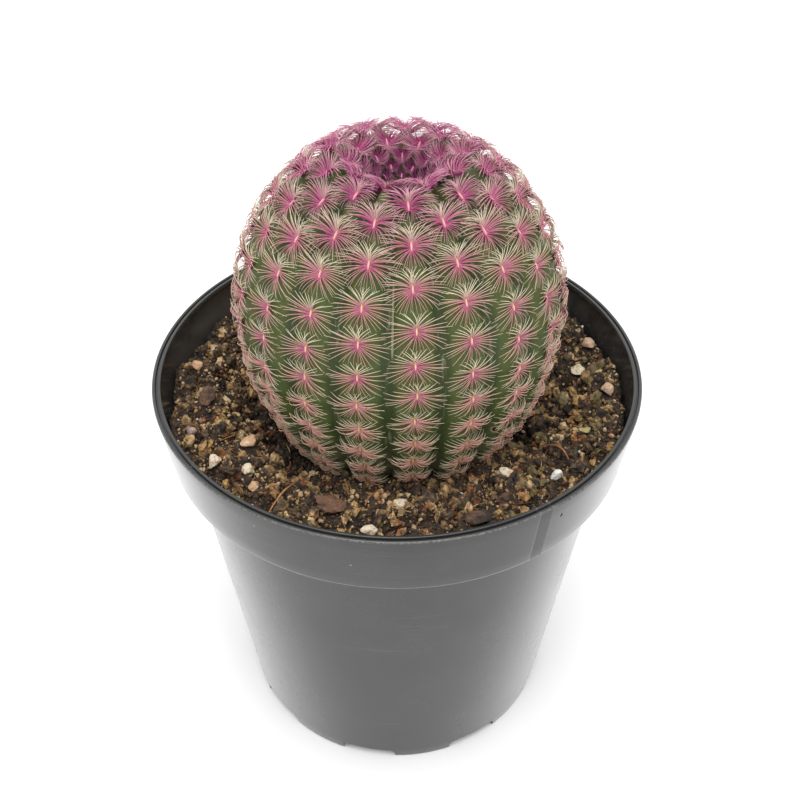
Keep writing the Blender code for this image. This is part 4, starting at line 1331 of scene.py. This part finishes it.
# ---------------------------------------------------------------- grit stones
# Sixteen pieces of pumice and gravel, broken and a little rubbed, some stained by iron or
# algae. They lie loose on the soil, each in a shallow bed of its own.

# How far a stone or a bark chip sinks below its place.
STONE_SINK = 0.0001
# The dirt in a stone's pits.
PIT_DIRT = (0.130, 0.085, 0.050, 1.0)
# Colour of the stone, colour of its stain and the share that is stained.
CREAM = (0.660, 0.560, 0.420)
PEACH = (0.560, 0.340, 0.190)
WHITE = (0.720, 0.700, 0.640)
MAUVE = (0.230, 0.175, 0.165)
PINKISH = (0.500, 0.330, 0.220)
OLIVE = (0.330, 0.290, 0.110)
OCHRE = (0.560, 0.340, 0.060)
RUST = (0.480, 0.180, 0.040)
STONES = (
    (CREAM, OCHRE, 0.45), (CREAM, PEACH, 0.40), (CREAM, RUST, 0.45), (PEACH, CREAM, 0.30),
    (CREAM, PEACH, 0.35), (CREAM, PEACH, 0.50), (PEACH, CREAM, 0.40), (MAUVE, PINKISH, 0.40),
    (WHITE, CREAM, 0.30), (OLIVE, CREAM, 0.50), (PINKISH, CREAM, 0.40), (CREAM, OLIVE, 0.40),
    (PINKISH, PEACH, 0.40), (PEACH, OCHRE, 0.30), (CREAM, PEACH, 0.40), (WHITE, PEACH, 0.20),
)

stone_finish, stone_tree, stone_shader = new_finish("pumice_and_gravel", Roughness=0.75)
pits = use_group(stone_tree, uneven, Grain=0.0007, Depth=0.00018, Detail=5.0)
cloud = use_group(stone_tree, uneven, Grain=0.0022, Depth=0.0, Detail=3.0)
tint = put(stone_tree, "ShaderNodeAttribute", attribute_name="tint").outputs["Color"]
stain = put(stone_tree, "ShaderNodeAttribute", attribute_name="stain").outputs["Color"]
stained = read_value(stone_tree, "stained")
edge = reckon("SUBTRACT", 0.72, product(stained, 0.45))
cover = put(stone_tree, "ShaderNodeMapRange",
            {0: cloud["Shade"], 1: edge, 2: total(edge, 0.10)}).outputs[0]
colour = mixed(cover, tint, stain)
colour = mixed(ranged(pits["Shade"], 0.50, 0.30, 0.0, 0.6), colour, PIT_DIRT)
painted(stone_shader, Base_Color=colour, Normal=pits["Normal"])


def broken_lump(name, low, high, seed, hardness, facets=16, flutes=0.0, turn=0.0):
    """A lump with worn facets that fills the box from low to high."""
    rng = random.Random(seed)
    faces = []
    for _ in range(facets):
        way = Vector((rng.gauss(0, 1), rng.gauss(0, 1), rng.gauss(0, 1))).normalized()
        faces.append((way, rng.uniform(0.72, 1.0)))
    bm = bmesh.new()
    bmesh.ops.create_icosphere(bm, subdivisions=4, radius=1.0)
    for vert in bm.verts:
        way = vert.co.normalized()
        pull = sum((max(0.0, way.dot(face)) / depth) ** hardness for face, depth in faces)
        radius = pull ** (-1.0 / hardness)
        radius *= 1.0 + 0.10 * noise.noise(way * 1.9 + Vector((seed, 0.0, 0.0)))
        radius *= 1.0 + 0.05 * noise.noise(way * 6.0 + Vector((0.0, seed, 0.0)))
        radius *= 1.0 + flutes * noise.noise(Vector((way.x * 1.5, way.y * 9.0, way.z * 9.0)))
        vert.co = way * radius
    bmesh.ops.rotate(bm, verts=bm.verts[:], cent=(0.0, 0.0, 0.0),
                     matrix=Matrix.Rotation(turn, 3, "Z"))
    least = Vector(min(vert.co[axis] for vert in bm.verts) for axis in range(3))
    most = Vector(max(vert.co[axis] for vert in bm.verts) for axis in range(3))
    for vert in bm.verts:
        for axis in range(3):
            share = (vert.co[axis] - least[axis]) / (most[axis] - least[axis])
            vert.co[axis] = low[axis] + share * (high[axis] - low[axis])
        vert.co.z -= STONE_SINK
    return to_mesh(name, bm, 60.0)


def tinted(mesh, name, colour):
    """Store one colour on a whole mesh."""
    layer = mesh.color_attributes.new(name, "FLOAT_COLOR", "POINT")
    layer.data.foreach_set("color", [*colour, 1.0] * len(mesh.vertices))


for count, (colour, stain_colour, share) in enumerate(STONES, start=1):
    node = f"grit_stone_{count:02d}"
    stone = add_piece(f"pebble_{count:02d}", broken_lump(f"pebble_{count:02d}", *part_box(node),
                                                         count, 12.0))
    tinted(stone.data, "tint", colour)
    tinted(stone.data, "stain", stain_colour)
    stone.data.attributes.new("stained", "FLOAT", "POINT").data.foreach_set(
        "value", [share] * len(stone.data.vertices))
    stone.data.materials.append(stone_finish)
    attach(stone, "root")
    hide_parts(node)


# ---------------------------------------------------------------- bark chips
# Five flakes of composted bark, dark and fibrous, with worn edges. They lie flat on the soil.

BARK_TURNS = (0.35, -0.30, 0.40, 1.20, 0.10)
BARK_DARK = (0.028, 0.016, 0.011, 1.0)
BARK_RED = (0.130, 0.064, 0.035, 1.0)
BARK_TAN = (0.260, 0.160, 0.085, 1.0)

bark_finish, bark_tree, bark_shader = new_finish("composted_bark", Roughness=0.8)
fibres = use_group(bark_tree, uneven, Grain=0.0007, Depth=0.0003, Detail=5.0)
cloud = use_group(bark_tree, uneven, Grain=0.0030, Depth=0.0, Detail=3.0)
colour = mixed(ranged(cloud["Shade"], 0.38, 0.62), BARK_DARK, BARK_RED)
colour = mixed(ranged(fibres["Shade"], 0.55, 0.75, 0.0, 0.7), colour, BARK_TAN)
painted(bark_shader, Base_Color=colour, Normal=fibres["Normal"])
for count, turn in enumerate(BARK_TURNS, start=1):
    node = f"bark_chip_{count:02d}"
    chip = add_piece(f"bark_flake_{count:02d}", broken_lump(
        f"bark_flake_{count:02d}", *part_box(node), 30 + count, 8.0, 12, 0.30, turn))
    chip.data.materials.append(bark_finish)
    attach(chip, "root")
    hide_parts(node)


# ---------------------------------------------------------------- root fibres
# Three longer dead roots lie across the soil in low arches, orange brown and brittle. Each is
# drawn along a curve and thins towards its ends.

ROOT_THICKNESS = 0.00022
ROOT_STEPS = 16
# Which way the root crosses its place, how far it bows sideways, and its shade.
ROOTS = ((1.0, 0.20, 0.80), (-1.0, 0.25, 0.70), (1.0, -0.20, 0.55))

long_roots, given, returned = new_grower("long_root", {
    "Path": ("Geometry", None), "Thickness": ("Float", 0.0002), "Finish": ("Material", None)})
curve = put(long_roots, "GeometryNodeMeshToCurve", {"Mesh": given["Path"]}).outputs[0]
smoothed = put(long_roots, "GeometryNodeResampleCurve", {"Curve": curve, "Count": 24}).outputs[0]
walk = put(long_roots, "GeometryNodeSplineParameter").outputs["Factor"]
hump = reckon("SINE", product(walk, math.pi))
wander = put(long_roots, "ShaderNodeTexNoise", {"Scale": 900.0, "Detail": 2.0}).outputs["Fac"]
swell = product(reckon("MULTIPLY_ADD", hump, 0.5, 0.5), total(wander, 0.5))
fibre = tube(long_roots, smoothed, 8, given["Thickness"], Scale=swell)
long_roots.links.new(coated(fibre, given["Finish"]), returned["Geometry"])
for count, (crossing, bow, shade) in enumerate(ROOTS, start=1):
    node = f"root_fibre_{count:02d}"
    low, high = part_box(node)
    size = high - low
    path = []
    for step in range(ROOT_STEPS + 1):
        share = step / ROOT_STEPS
        hump = math.sin(share * math.pi)
        across = share if crossing > 0.0 else 1.0 - share
        path.append((low.x + size.x * (0.06 + 0.88 * across) + bow * size.x * 0.3 * hump,
                     low.y + size.y * (0.04 + 0.92 * share),
                     low.z + ROOT_THICKNESS + (size.z - 2.0 * ROOT_THICKNESS) * hump))
    line = bpy.data.meshes.new(f"root_path_{count:02d}")
    line.from_pydata(path, [(here, here + 1) for here in range(ROOT_STEPS)], [])
    line.attributes.new("shade", "FLOAT", "POINT").data.foreach_set("value", [shade] * len(path))
    strand = grown(f"dead_root_{count:02d}", line, long_roots, Thickness=ROOT_THICKNESS,
                   Finish=root_finish)
    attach(strand, "root")
    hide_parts(node)
